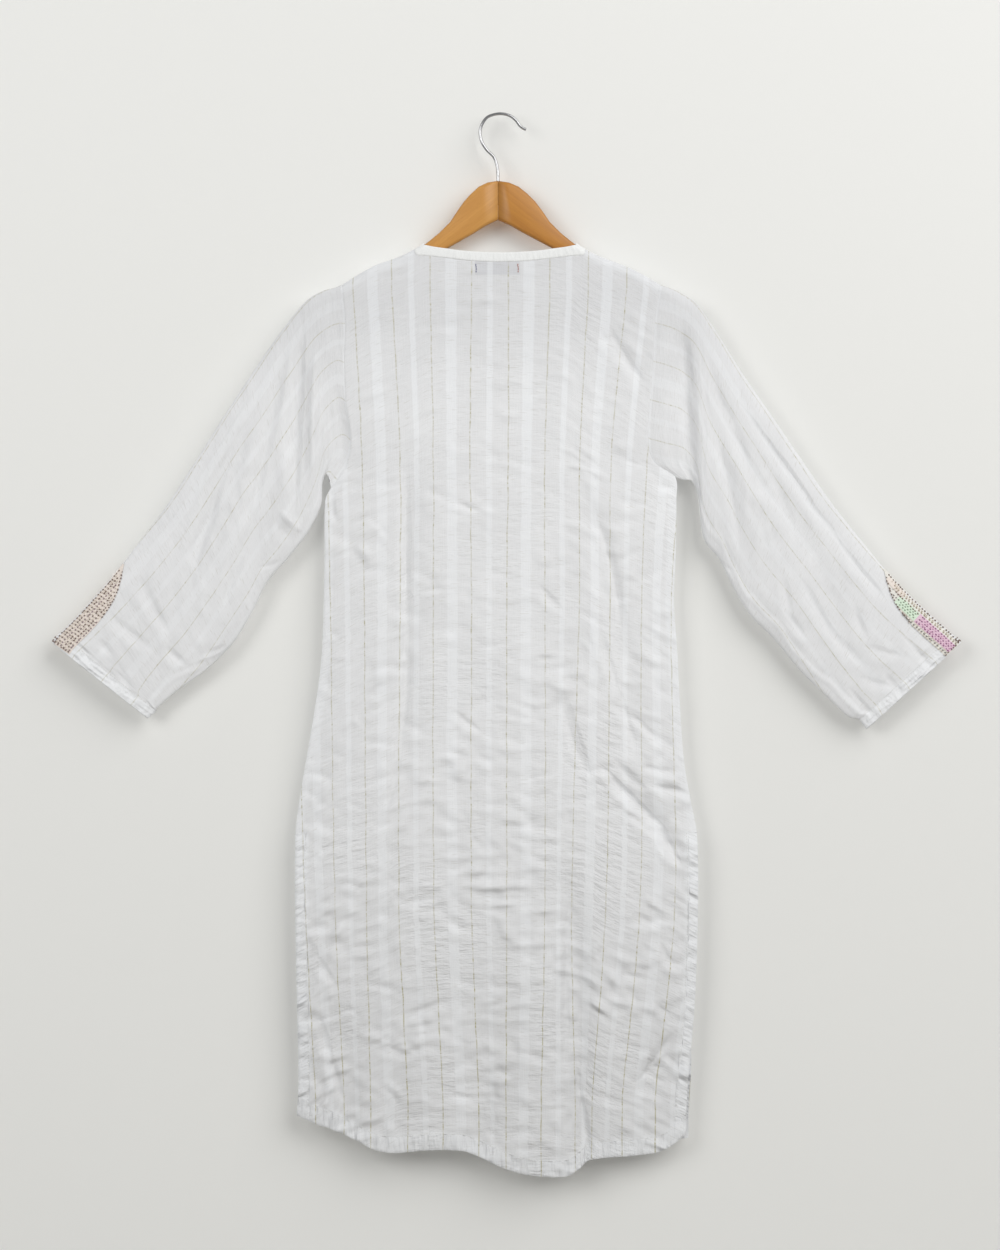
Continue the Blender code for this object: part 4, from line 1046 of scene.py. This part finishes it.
def build_sleeve(side):
    sleeve = SLEEVES[side]
    sections, (shown_seed, hidden_seed) = sleeve.sections, sleeve.seeds
    wear = small_creases(90, sleeve.low, sleeve.high, sleeve.lean, 0.7, shown_seed)
    hidden = small_creases(110, sleeve.low, sleeve.high, sleeve.lean, 0.5, hidden_seed)
    values = np.array([(k / MM, *section) for k, section in enumerate(sections)]) * MM
    last = len(sections) - 1
    turns = np.linspace(0.0, 1.0, SLEEVE_COLUMNS + 1)
    ring, drop = armhole_ring(side, turns)
    rows, pattern = [], []
    for place in np.linspace(0.0, last, SLEEVE_ROWS + 1):
        x_fold, z_fold, x_under, z_under, half, bite, first, end = eased(values, place)
        bite, first, end = bite / MM, first / MM, end / MM
        settle = ease(place, *SETTLE_IN)
        share = (1 - settle) * drop + settle * 0.5 * (1 - np.cos(math.pi * turns))
        x = x_fold + share * (x_under - x_fold)
        z = z_fold + share * (z_under - z_fold)
        chord = values[0][1] + drop * (values[0][3] - values[0][1])
        x = x + (ring[:, 0] - chord) * (1 - ease(place, *ARMHOLE_OUT))
        flat = half * np.maximum(np.sin(math.pi * turns), 0.0) ** SLEEVE_POWER
        flat[-1] = 0.0
        deep = (1 - settle) * np.abs(ring[:, 1]) + settle * flat
        hollow = ease(share, sleeve.armpit, sleeve.armpit + ARMPIT_RUN)
        bitten = deep * (1 - ARMPIT_BITE * bite * hollow)
        folded = np.minimum(fold_push(x, z) * ease(place, *FOLDS_IN), 0.5 * bitten)
        bitten = bitten - folded * np.sin(math.pi * share)
        room = np.sin(math.pi * np.clip(share, 0.0, 1.0)) ** 0.6 * ease(place, *CREASES_IN)
        wander = 0.012 * math.sin(2.3 * place) + 0.006 * math.sin(6.1 * place)
        seam = np.exp(-((share - SEAM_RIDGE - wander) / SEAM_WIDE) ** 2)
        seam = seam - np.exp(-((share - SEAM_GROOVE - wander) / SEAM_WIDE) ** 2)
        shown = crease_push(x, z, sleeve.creases + wear) * room
        shown = shown - SEAM_HIGH * seam * ease(place, *SEAM_IN)
        unseen = crease_push(x, z, hidden) * room
        back_side = np.stack([x, -np.maximum(bitten - shown, THINNEST * (bitten > 0)), z], -1)
        front_side = np.stack([x, np.maximum(deep - unseen, THINNEST * (deep > 0)), z], -1)
        if place == 0.0:
            back_side, front_side = ring, ring * (1, -1, 1)
        rows.append(np.vstack([back_side[::-1], front_side[1:]]))
        thread = (first + share * (end - first)) * REPEAT
        mirrored = (first - share * (end - first)) * REPEAT
        from_top = np.full(2 * SLEEVE_COLUMNS + 1, place / last * SLEEVE_LENGTH)
        pattern.append(np.stack([np.concatenate([thread[::-1], mirrored[1:]]), from_top], -1))
    places, pattern = np.array(rows), np.array(pattern)
    to_cuff = np.linspace(last, 0.0, SLEEVE_ROWS + 1)[:, None] * CUFF_BAND
    turned = ease(CUFF_BAND + 0.5 * BAND_EDGE - to_cuff, 0.0, BAND_EDGE) * np.ones(places.shape[:2])
    to_armhole = SLEEVE_LENGTH * np.linspace(0, 1, SLEEVE_ROWS + 1)[:, None]
    seam = ease(ALLOWANCE - to_armhole, -MM, MM)
    layers = np.maximum(HEM_SOLID * turned, CUFF_SEAM_SOLID * seam)
    piece = cloth_piece(
        "cloth_sleeve_" + side, places, pattern, turned, layers, TURNED_WALL, SLEEVE_COTTON, closed=True
    )
    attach(piece, "root")
    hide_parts("sleeve_" + side)
    return piece


sleeve_left = build_sleeve("left")
sleeve_right = build_sleeve("right")


# ------------------------------------------------------------------ neck binding and label
# A narrow band of plain cotton, folded over the raw edge of the neck and stitched down. A small
# bare label of woven tape is tacked inside the back neck, just below it.
BINDING_WALL = 0.0013
BINDING_WIDTH = 0.0100
BINDING_LAP = 0.0012       # over the panels' cut edge
BINDING_ROWS = 7
BINDING_CROWN, BINDING_UNEVEN = 0.0002, 0.00012                # how far its middle stands out
PLAIN, PLAIN_THIN, PLAIN_THICK = (0.86, 0.865, 0.86), (0.80, 0.81, 0.805), (0.88, 0.885, 0.88)
LABEL_HEIGHT = 0.015
LABEL_WALL = 0.0007
LABEL_COLUMNS, LABEL_ROWS = 28, 9
LABEL_BELOW = 0.0015       # the cut edge of the neck
LABEL_INSIDE = 0.0013      # from the middle of the back panel to its own
TAPE, TAPE_DARK, TAPE_LIGHT = (0.50, 0.53, 0.60), (0.44, 0.47, 0.55), (0.56, 0.59, 0.66)


def neck_loop(count):
    """The neck opening once round: x and path of many places."""
    across = -NECK_HALF_WIDTH * np.cos(np.linspace(0.0, math.pi, count))
    over = np.linspace(SHOULDER_SEAM, QUARTER * SHOULDER_RADIUS, 14)[1:-1]
    back_run = np.stack([across, neck_path(across, False)], -1)
    back_run[[0, -1], 1] = SHOULDER_SEAM
    front_run = np.stack([across[::-1], neck_path(across[::-1], True)], -1)
    right = np.stack([np.full(len(over), NECK_HALF_WIDTH), over], -1)
    left = np.stack([np.full(len(over), -NECK_HALF_WIDTH), over[::-1]], -1)
    return np.vstack([back_run, right, front_run, left])


def build_binding():
    loop = neck_loop(64)
    before = loop - np.roll(loop, 1, axis=0)
    after = np.roll(loop, -1, axis=0) - loop
    along = before / np.hypot(*before.T)[:, None] + after / np.hypot(*after.T)[:, None]
    inward = np.stack([-along[:, 1], along[:, 0]], -1) / np.hypot(*along.T)[:, None]
    rows = []
    for share in np.linspace(0.0, 1.0, BINDING_ROWS):
        reach = BINDING_WIDTH * share - BINDING_LAP * (1 - share)
        x, path = (loop + inward * reach).T
        path = np.where(loop[:, 1] <= SHOULDER_SEAM, np.minimum(path, SHOULDER_SEAM), path)
        places = body_places((x - TIP_LEFT) / (TIP_RIGHT - TIP_LEFT), path)
        crown = BINDING_CROWN * math.sin(math.pi * share)
        crown = crown + BINDING_UNEVEN * np.sin(np.arange(len(loop)) * 1.9)
        places[:, 1] += np.sign(path) * crown * np.minimum(np.abs(path) / SHOULDER_RADIUS, 1.0)
        rows.append(places)
    places = np.array(rows)
    places = np.concatenate([places, places[:, :1]], axis=1)
    steps = np.linalg.norm(np.diff(places[0], axis=0), axis=1)
    run = np.concatenate([[0.0], np.cumsum(steps)])
    pattern = np.stack(np.meshgrid(run, np.linspace(0, BINDING_WIDTH, BINDING_ROWS)), -1)
    plain = Finish("plain_cotton", PLAIN, 0.85)
    threads = plain.noise(plain.cloth_place(), (700.0, 900.0, 1.0), roughness=0.7)
    pulls = plain.noise(plain.cloth_place(), (160.0, 60.0, 1.0), detail=2.0)
    plain.give(Base_Color=plain.mix(plain.ramp(threads, 0.2, 0.8), PLAIN_THIN, PLAIN_THICK))
    plain.give(Normal=plain.bump(threads, 0.2 * MM, plain.bump(pulls, 1.4 * MM)), Sheen_Weight=0.15)
    ones = np.ones(places.shape[:2])
    piece = cloth_piece(
        "cloth_binding", places, pattern, ones, ones, BINDING_WALL, plain.material, closed=True
    )
    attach(piece, "root")
    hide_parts("neck_binding")


build_binding()


def build_label():
    across = np.linspace(LABEL_LEFT, LABEL_RIGHT, LABEL_COLUMNS)
    top = neck_path(np.array([0.5 * (LABEL_LEFT + LABEL_RIGHT)]), False)[0] - LABEL_BELOW
    down = np.linspace(0.0, LABEL_HEIGHT, LABEL_ROWS)[:, None]
    u, path = np.broadcast_arrays((across - TIP_LEFT) / (TIP_RIGHT - TIP_LEFT), top - down)
    places = body_places(u, path)
    places[..., 1] += LABEL_INSIDE
    pattern = np.stack(np.meshgrid(across, down[:, 0]), -1)
    tape = Finish("label_tape", TAPE, 0.6)
    ribs = tape.noise(tape.cloth_place(), (300.0, 2600.0, 1.0), detail=2.0)
    tape.give(Base_Color=tape.mix(ribs, TAPE_DARK, TAPE_LIGHT), Normal=tape.bump(ribs, 0.1 * MM))
    ones = np.ones(places.shape[:2])
    piece = cloth_piece("cloth_label", places, pattern, ones, ones, LABEL_WALL, tape.material)
    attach(piece, "root")
    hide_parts("neck_label")


build_label()


# ------------------------------------------------------------------ sewing
# White cotton thread holds down the hems, the slit edges, the cuffs and the neck binding in rows
# of short stitches. Two coloured tacks hold the label's ends and show through the back.
STITCH_STEP = 0.0034       # stitch and gap together
STITCH_SHARE = 0.68        # of a step, that the stitch takes
STITCH_WIDTH = 0.0007
STITCH_THICK = 0.8         # of its width
TACK_STEP, TACK_SHARE, TACK_WIDTH = 0.0029, 1.15, 0.0014       # tack stitches overlap
SEWING_SEED = 7
HEM_ROW = 0.0195           # up from the hem's edge
SLIT_ROW = 0.0125          # in from the slit's edge
LEFT_TACK, RIGHT_TACK = -0.0288, 0.0216
TACK_TOP, TACK_LOW = -0.1795, -0.1910
TACK_WAVER = 0.0004


def cloth_tree(piece):
    bm = bmesh.new()
    bm.from_mesh(piece.data)
    tree = BVHTree.FromBMesh(bm)
    bm.free()
    return tree


def on_cloth(tree, x, z, side, lift):
    """Where the cloth lies at x and z, seen from its back (-1) or front (1), and its way out."""
    point, normal, _, _ = tree.ray_cast(Vector((x, side * 0.1, z)), Vector((0.0, -side, 0.0)))
    if point is None:
        return None
    if normal.y * side < 0:
        normal = -normal
    return point + normal * lift, normal


def sew(name, rows, step, share, width, thread, uneven=0.1):
    """Running stitches along rows; a row is a list of points on the cloth and their ways out. Each
    stitch takes its share of a step, more or less so as the hand is uneven."""
    made = bmesh.new()
    draw = np.random.default_rng(SEWING_SEED)
    for row in rows:
        row = [place for place in row if place is not None]
        points = np.array([place[0] for place in row])
        outward = np.array([place[1] for place in row])
        run = np.concatenate([[0.0], np.cumsum(np.linalg.norm(np.diff(points, axis=0), axis=1))])
        bm = bmesh.new()
        for at in np.arange(0.5 * step, run[-1], step):
            at += uneven * step * draw.normal()
            half = 0.5 * share * step * (1 + uneven * draw.normal())
            ends = [at - half, at + half]
            first, last = (Vector([np.interp(end, run, points[:, k]) for k in range(3)]) for end in ends)
            out = Vector([np.interp(at, run, outward[:, k]) for k in range(3)]).normalized()
            along = (last - first).normalized()
            beside = out.cross(along).normalized()
            first += beside * uneven * width * draw.normal()
            last += beside * uneven * width * draw.normal()
            along = (last - first).normalized()
            beside = out.cross(along).normalized()
            turn = Matrix((along, beside, along.cross(beside))).transposed().to_4x4()
            thick = STITCH_THICK * width
            size = Matrix.Diagonal((0.5 * (last - first).length, 0.5 * width, 0.5 * thick, 1.0))
            place = Matrix.Translation(0.5 * (first + last)) @ turn @ size
            bmesh.ops.create_uvsphere(bm, u_segments=6, v_segments=4, radius=1.0, matrix=place)
        mesh = made_mesh("row", bm)
        made.from_mesh(mesh)
        bpy.data.meshes.remove(mesh)
    mesh = made_mesh(name, made)
    mesh.shade_smooth()
    piece = finished(name, mesh, thread)
    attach(piece, "root")
    return piece


def thread_finish(name, colour):
    thread = Finish(name, colour, 0.7)
    plies = thread.noise(thread.object_place(), (1400.0, 1400.0, 1400.0), detail=1.0)
    dark = tuple(0.7 * part for part in colour)
    thread.give(Base_Color=thread.mix(plies, dark, colour), Sheen_Weight=0.2)
    return thread.material


def sew_panel(piece, name, hem, side):
    tree = cloth_tree(piece)
    lift = 0.5 * TURNED_WALL
    across = np.linspace(hem[0, 0] + SLIT_ROW, hem[-1, 0] - SLIT_ROW, 150)
    heights = eased(hem, across)[:, 0] + HEM_ROW
    rows = [[on_cloth(tree, x, z, side, lift) for x, z in zip(across, heights)]]
    for edges, inward in ((LEFT_TABLE, 1), (RIGHT_TABLE, -1)):
        down = np.linspace(SLIT_TOP, eased(hem, edges[0, 1])[0] + HEM_ROW, 110)
        inset = eased(edges, down)[:, 0] + inward * SLIT_ROW
        rows.append([on_cloth(tree, x, z, side, lift) for x, z in zip(inset, down)])
    return sew("stitches_" + name, rows, STITCH_STEP, STITCH_SHARE, STITCH_WIDTH, WHITE_THREAD)


def sew_cuff(piece, side):
    tree = cloth_tree(piece)
    at = SLEEVES[side].sections[-2]
    share = np.linspace(0.02, 0.98, 60)
    x = (at.x_fold + share * (at.x_under - at.x_fold)) * MM
    z = (at.z_fold + share * (at.z_under - at.z_fold)) * MM
    lift = 0.5 * TURNED_WALL
    rows = [[on_cloth(tree, *place, face, lift) for place in zip(x, z)] for face in (-1, 1)]
    return sew("stitches_cuff_" + side, rows, STITCH_STEP, STITCH_SHARE, STITCH_WIDTH, WHITE_THREAD)


def sew_tack(name, x, colour):
    tree = cloth_tree(back)
    down = np.linspace(TACK_TOP, TACK_LOW, 8)
    across = x + TACK_WAVER * np.sin(9 * np.arange(len(down)))
    row = [on_cloth(tree, *place, -1, 0.5 * SHEER_WALL) for place in zip(across, down)]
    return sew(name, [row], TACK_STEP, TACK_SHARE, TACK_WIDTH, thread_finish(name, colour))


WHITE_THREAD = thread_finish("white_thread", (0.84, 0.84, 0.82))
stitches_back = sew_panel(back, "back", BACK_HEM_TABLE, -1)
stitches_front = sew_panel(front, "front", FRONT_HEM_TABLE, 1)
stitches_left = sew_cuff(sleeve_left, "left")
stitches_right = sew_cuff(sleeve_right, "right")
tack_left = sew_tack("tack_left", LEFT_TACK, (0.17, 0.18, 0.30))
tack_right = sew_tack("tack_right", RIGHT_TACK, (0.52, 0.24, 0.20))


# ------------------------------------------------------------------ cuff embroidery
# A pointed band lies over the outer fold at each cuff: scraps of thin dyed cloth, held down by
# rows of running stitches in thicker thread. The left one is peach, the right one of three tints.
Reach = namedtuple("Reach", "from_cuff width")
BAND_OUTLINE = (
    Reach(0, 25.0),
    Reach(30, 25.0),
    Reach(62, 24.0),
    Reach(88, 20.0),
    Reach(108, 12.5),
    Reach(122, 5.0),
    Reach(129, 1.5),
)
Scrap = namedtuple("Scrap", "side start end low high tint")
SCRAPS = (
    Scrap("left", 0.5, 128.0, -25.0, 25.0, "peach"),
    Scrap("right", 0.5, 128.0, -25.0, 25.0, "cream"),
    Scrap("right", 88.0, 118.0, 2.5, 9.0, "peach"),
    Scrap("right", 60.0, 92.0, 8.0, 19.5, "green"),
    Scrap("right", 2.0, 60.0, 7.5, 19.5, "pink"),
)
TINTS = {
    "peach": (0.80, 0.72, 0.66),
    "cream": (0.80, 0.78, 0.73),
    "green": (0.68, 0.81, 0.66),
    "pink": (0.74, 0.53, 0.64),
}
Run = namedtuple("Run", "side from_fold start end thread")
RUNS = (
    Run("left", 2.2, 2, 122, "brown"),
    Run("left", 4.2, 3, 114, "ecru"),
    Run("left", 6.2, 2, 116, "brown"),
    Run("left", 8.2, 3, 110, "ecru"),
    Run("left", 10.2, 2, 108, "mauve"),
    Run("left", 12.2, 3, 102, "ecru"),
    Run("left", 14.4, 2, 98, "brown"),
    Run("left", 16.6, 3, 92, "ecru"),
    Run("left", 18.8, 2, 86, "brown"),
    Run("left", 20.8, 3, 74, "ecru"),
    Run("left", 22.6, 2, 60, "mauve"),
    Run("right", 1.6, 2, 124, "brown"),
    Run("right", 3.6, 3, 114, "ecru"),
    Run("right", 5.6, 2, 112, "sand"),
    Run("right", 7.4, 88, 108, "ecru"),
    Run("right", 8.8, 2, 58, "plum"),
    Run("right", 9.4, 60, 106, "brown"),
    Run("right", 11.2, 4, 56, "rose"),
    Run("right", 11.6, 62, 90, "moss"),
    Run("right", 13.4, 2, 60, "plum"),
    Run("right", 13.8, 88, 102, "grey"),
    Run("right", 14.2, 64, 92, "moss"),
    Run("right", 15.6, 4, 56, "rose"),
    Run("right", 17.0, 62, 88, "moss"),
    Run("right", 17.8, 2, 60, "plum"),
    Run("right", 20.4, 2, 84, "ecru"),
    Run("right", 22.4, 3, 76, "grey"),
    Run("right", 24.2, 3, 66, "ecru"),
)
THREAD_TINTS = {
    "brown": (0.23, 0.155, 0.13),
    "mauve": (0.33, 0.235, 0.25),
    "ecru": (0.84, 0.76, 0.66),
    "sand": (0.52, 0.43, 0.31),
    "plum": (0.33, 0.10, 0.25),
    "rose": (0.72, 0.38, 0.58),
    "moss": (0.36, 0.45, 0.33),
    "grey": (0.30, 0.28, 0.27),
}
EMBROIDERY_STEP = 0.0043
EMBROIDERY_SHARE = 0.62
EMBROIDERY_WIDTH = 0.0018
EMBROIDERY_UNEVEN = 0.16
RUN_SHY = 0.0003           # a hand-sewn row's waver
EDGE_ROW = range(62, 122, 2)           # millimetres from the cuff, along the pointed edge
EDGE_INSET = 0.6           # millimetres
CUFF_ROW = 0.0024          # up from the cuff's edge
KNOT_ROWS = (0.0002, 0.0012, 0.0026)   # from the fold, at the corner of the cuff
KNOTS = (1.0, 2.4, 4.0, 6.0, 8.0)      # millimetres from the cuff
SCRAP_WALL = 0.0003
SCRAP_ROWS = 34
WIDE_SCRAP, NARROW_SCRAP = 17, 7       # columns, over the fold or on one face
SCRAP_LIFT = 0.5 * TURNED_WALL + 0.0003                        # over the middle of the cloth
UPPER_LIFT = 0.0004                                            # of one scrap over another
RUN_LIFT, CUFF_LIFT, KNOT_LIFT = (SCRAP_LIFT + high for high in (0.0006, 0.0008, 0.0012))
BESIDE = 0.004             # how far along to look for which way the fold runs
AT_FOLD = 0.0004           # nearer the fold than this is on it


class CuffFold:
    """Places on a sleeve, by distance from its cuff and from its outer fold."""

    def __init__(self, piece, side):
        sections = SLEEVES[side].sections
        rows = np.array([(k, *section[:2]) for k, section in enumerate(sections)]) * MM
        self.line = eased(rows, np.linspace(len(sections) - 1, len(sections) - 7, 90) * MM)
        steps = np.diff(self.line, axis=0)
        self.run = np.concatenate([[0.0], np.cumsum(np.hypot(*steps.T))])
        self.side = 1 if side == "left" else -1
        self.tree = cloth_tree(piece)

    def along(self, from_cuff):
        return np.array([np.interp(from_cuff, self.run, self.line[:, k]) for k in range(2)])

    def at(self, from_cuff, from_fold, lift):
        """A point over the cloth; from_fold is above 0 on the sleeve's back, below 0 in front."""
        way = self.along(from_cuff + BESIDE) - self.along(from_cuff - BESIDE)
        way /= np.hypot(*way)
        beside = np.array([way[1], -way[0]]) * self.side
        if abs(from_fold) < AT_FOLD:
            x, z = self.along(from_cuff) - beside * (lift - AT_FOLD)
            return Vector((x, 0.0, z)), Vector((-beside[0], 0.0, -beside[1]))
        x, z = self.along(from_cuff) + beside * abs(from_fold)
        return on_cloth(self.tree, x, z, -1 if from_fold > 0 else 1, lift)


def band_width(from_cuff):
    return float(eased(np.array(BAND_OUTLINE), from_cuff)[0])


def lay_scrap(fold, scrap, face, level):
    """A scrap of dyed cloth over the sleeve, narrowed where the band comes to its point. face is 1
    as the table has it and -1 for the same scrap on the sleeve's other face."""
    rows = []
    along = np.linspace(scrap.start, scrap.end, SCRAP_ROWS)
    for from_cuff in along:
        width = band_width(from_cuff)
        low, high = max(scrap.low, -width), min(scrap.high, width)
        if low > 0:
            high = max(high, low + 0.3)
        across = np.linspace(low, high, WIDE_SCRAP if low < 0 else NARROW_SCRAP)
        rows.append([tuple(fold.at(from_cuff * MM, face * at * MM, level)[0]) for at in across])
    places = np.array(rows)
    ones = np.ones(places.shape[:2])
    across = np.linspace(0, scrap.high - scrap.low, places.shape[1])
    pattern = np.stack(np.meshgrid(across, along), -1) * MM
    name = "scrap_%s_%s_%s" % (scrap.side, scrap.tint, "back" if face > 0 else "front")
    tint = TINTS[scrap.tint]
    faded = tuple(min(1.0, 1.12 * part) for part in tint)
    silk = Finish(name, tint, 0.62)
    weave = silk.noise(silk.cloth_place(), (900.0, 500.0, 1.0), roughness=0.7)
    silk.give(Base_Color=silk.mix(silk.ramp(weave, 0.3, 0.7), tint, faded))
    silk.give(Normal=silk.bump(weave, 0.5 * MM), Sheen_Weight=0.3)
    piece = cloth_piece(name, places, pattern, ones, ones, SCRAP_WALL, silk.material)
    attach(piece, "root")
    return piece


def lay_scraps(fold, side):
    pieces = []
    for scrap in SCRAPS:
        if scrap.side == side and scrap.low < 0:
            pieces.append(lay_scrap(fold, scrap, 1, SCRAP_LIFT))
        elif scrap.side == side:
            pieces += [lay_scrap(fold, scrap, face, SCRAP_LIFT + UPPER_LIFT) for face in (1, -1)]
    return pieces


def thread_rows(fold, side):
    """The rows of stitches in each thread: the band's own runs, then its edge, cuff and knots."""
    rows = {}
    for run in RUNS:
        if run.side != side:
            continue
        places = np.arange(run.start, run.end, 2.0) * MM
        off = run.from_fold * MM + RUN_SHY * np.sin(places * 900 + run.from_fold)
        for face in (1, -1):
            row = [fold.at(*place, RUN_LIFT) for place in zip(places, face * off)]
            rows.setdefault(run.thread, []).append(row)
    outline = rows.setdefault("brown", [])
    for face in (1, -1):
        edge = [(at * MM, face * max(band_width(at) - EDGE_INSET, EDGE_INSET) * MM) for at in EDGE_ROW]
        outline.append([fold.at(*place, RUN_LIFT) for place in edge])
        across = np.arange(0.8, 25.0, 1.2) * MM
        outline.append([fold.at(CUFF_ROW, face * at, CUFF_LIFT) for at in across])
        for off in KNOT_ROWS:
            outline.append([fold.at(at * MM, face * off, KNOT_LIFT) for at in KNOTS])
    return rows


def embroider(side, piece):
    fold = CuffFold(piece, side)
    pieces = lay_scraps(fold, side)
    for tint, rows in thread_rows(fold, side).items():
        thread = thread_finish("thread_%s_%s" % (side, tint), THREAD_TINTS[tint])
        name = "embroidery_%s_%s" % (side, tint)
        size = EMBROIDERY_STEP, EMBROIDERY_SHARE, EMBROIDERY_WIDTH
        pieces.append(sew(name, rows, *size, thread, EMBROIDERY_UNEVEN))
    return pieces


embroidery_left = embroider("left", sleeve_left)
embroidery_right = embroider("right", sleeve_right)


# ------------------------------------------------------------------ room
# A plain pale wall close behind and a plain pale floor. One large soft lamp from the upper right
# and a weaker one from the left light the back, and a third lights the front through the wall,
# which is clear from behind and casts no shadow.
WALL_FROM_HOOK = 0.021
FLOOR = -1.75
ROOM_SIZE = 3.0
MIDDLE = (0.0, 0.0, -0.60)
Lamp = namedtuple("Lamp", "name place size power colour")
LAMPS = (
    Lamp("key_lamp", (2.2, -2.5, 1.5), 3.4, 108.0, (1.0, 0.995, 0.98)),
    Lamp("fill_lamp", (-2.2, -2.6, 0.5), 1.8, 38.0, (1.0, 1.0, 0.99)),
    Lamp("front_lamp", (-1.2, 3.0, 0.5), 1.1, 45.0, (1.0, 0.995, 0.98)),
)
DAYLIGHT, DAYLIGHT_STRENGTH = (0.93, 0.94, 0.95, 1.0), 0.33
CAMERA_PLACE = (0.0, -3.2, -0.6132)
SENSOR, LENS = 36.0, 76.6  # millimetres


def build_plane(name, place, material):
    bm = bmesh.new()
    bmesh.ops.create_grid(bm, x_segments=1, y_segments=1, size=ROOM_SIZE, matrix=place)
    return finished(name, made_mesh(name, bm), material)


def clear_from_behind(paint):
    """Paint that shows from the room's side alone."""
    joined = paint.node("MixShader", {
        0: paint.node("NewGeometry", {}).outputs["Backfacing"],
        1: paint.shader.outputs[0],
        2: paint.node("BsdfTransparent", {}).outputs[0],
    })
    paint.join(paint.tree.nodes["Material Output"].inputs["Surface"], joined.outputs[0])
    return paint.material


paint = clear_from_behind(Finish("wall_paint", (0.83, 0.83, 0.81), 0.9))
upright = Matrix.Translation((0.0, WALL_FROM_HOOK, MIDDLE[2])) @ Matrix.Rotation(QUARTER, 4, "X")
wall = build_plane("wall", upright, paint)
wall.visible_shadow = False
floor_paint = Finish("floor_paint", (0.42, 0.41, 0.39), 0.8).material
floor = build_plane("floor", Matrix.Translation((0.0, 0.0, FLOOR)), floor_paint)

for lamp in LAMPS:
    light = bpy.data.lights.new(lamp.name, "AREA")
    light.shape = "SQUARE"
    light.size, light.energy, light.color = lamp.size, lamp.power, lamp.colour
    hung = bpy.data.objects.new(lamp.name, light)
    bpy.context.scene.collection.objects.link(hung)
    hung.location = lamp.place
    aim = Vector(MIDDLE) - Vector(lamp.place)
    hung.rotation_euler = aim.to_track_quat("-Z", "Y").to_euler()

world = bpy.data.worlds.new("room_light")
bpy.context.scene.world = world
world.use_nodes = True
background = world.node_tree.nodes["Background"]
background.inputs["Color"].default_value = DAYLIGHT
background.inputs["Strength"].default_value = DAYLIGHT_STRENGTH

camera = bpy.data.objects.new("camera", bpy.data.cameras.new("camera"))
bpy.context.scene.collection.objects.link(camera)
camera.location = CAMERA_PLACE
camera.rotation_euler = (QUARTER, 0.0, 0.0)
camera.data.sensor_width = SENSOR
camera.data.lens = LENS
bpy.context.scene.camera = camera
bpy.context.scene.view_settings.view_transform = "Standard"
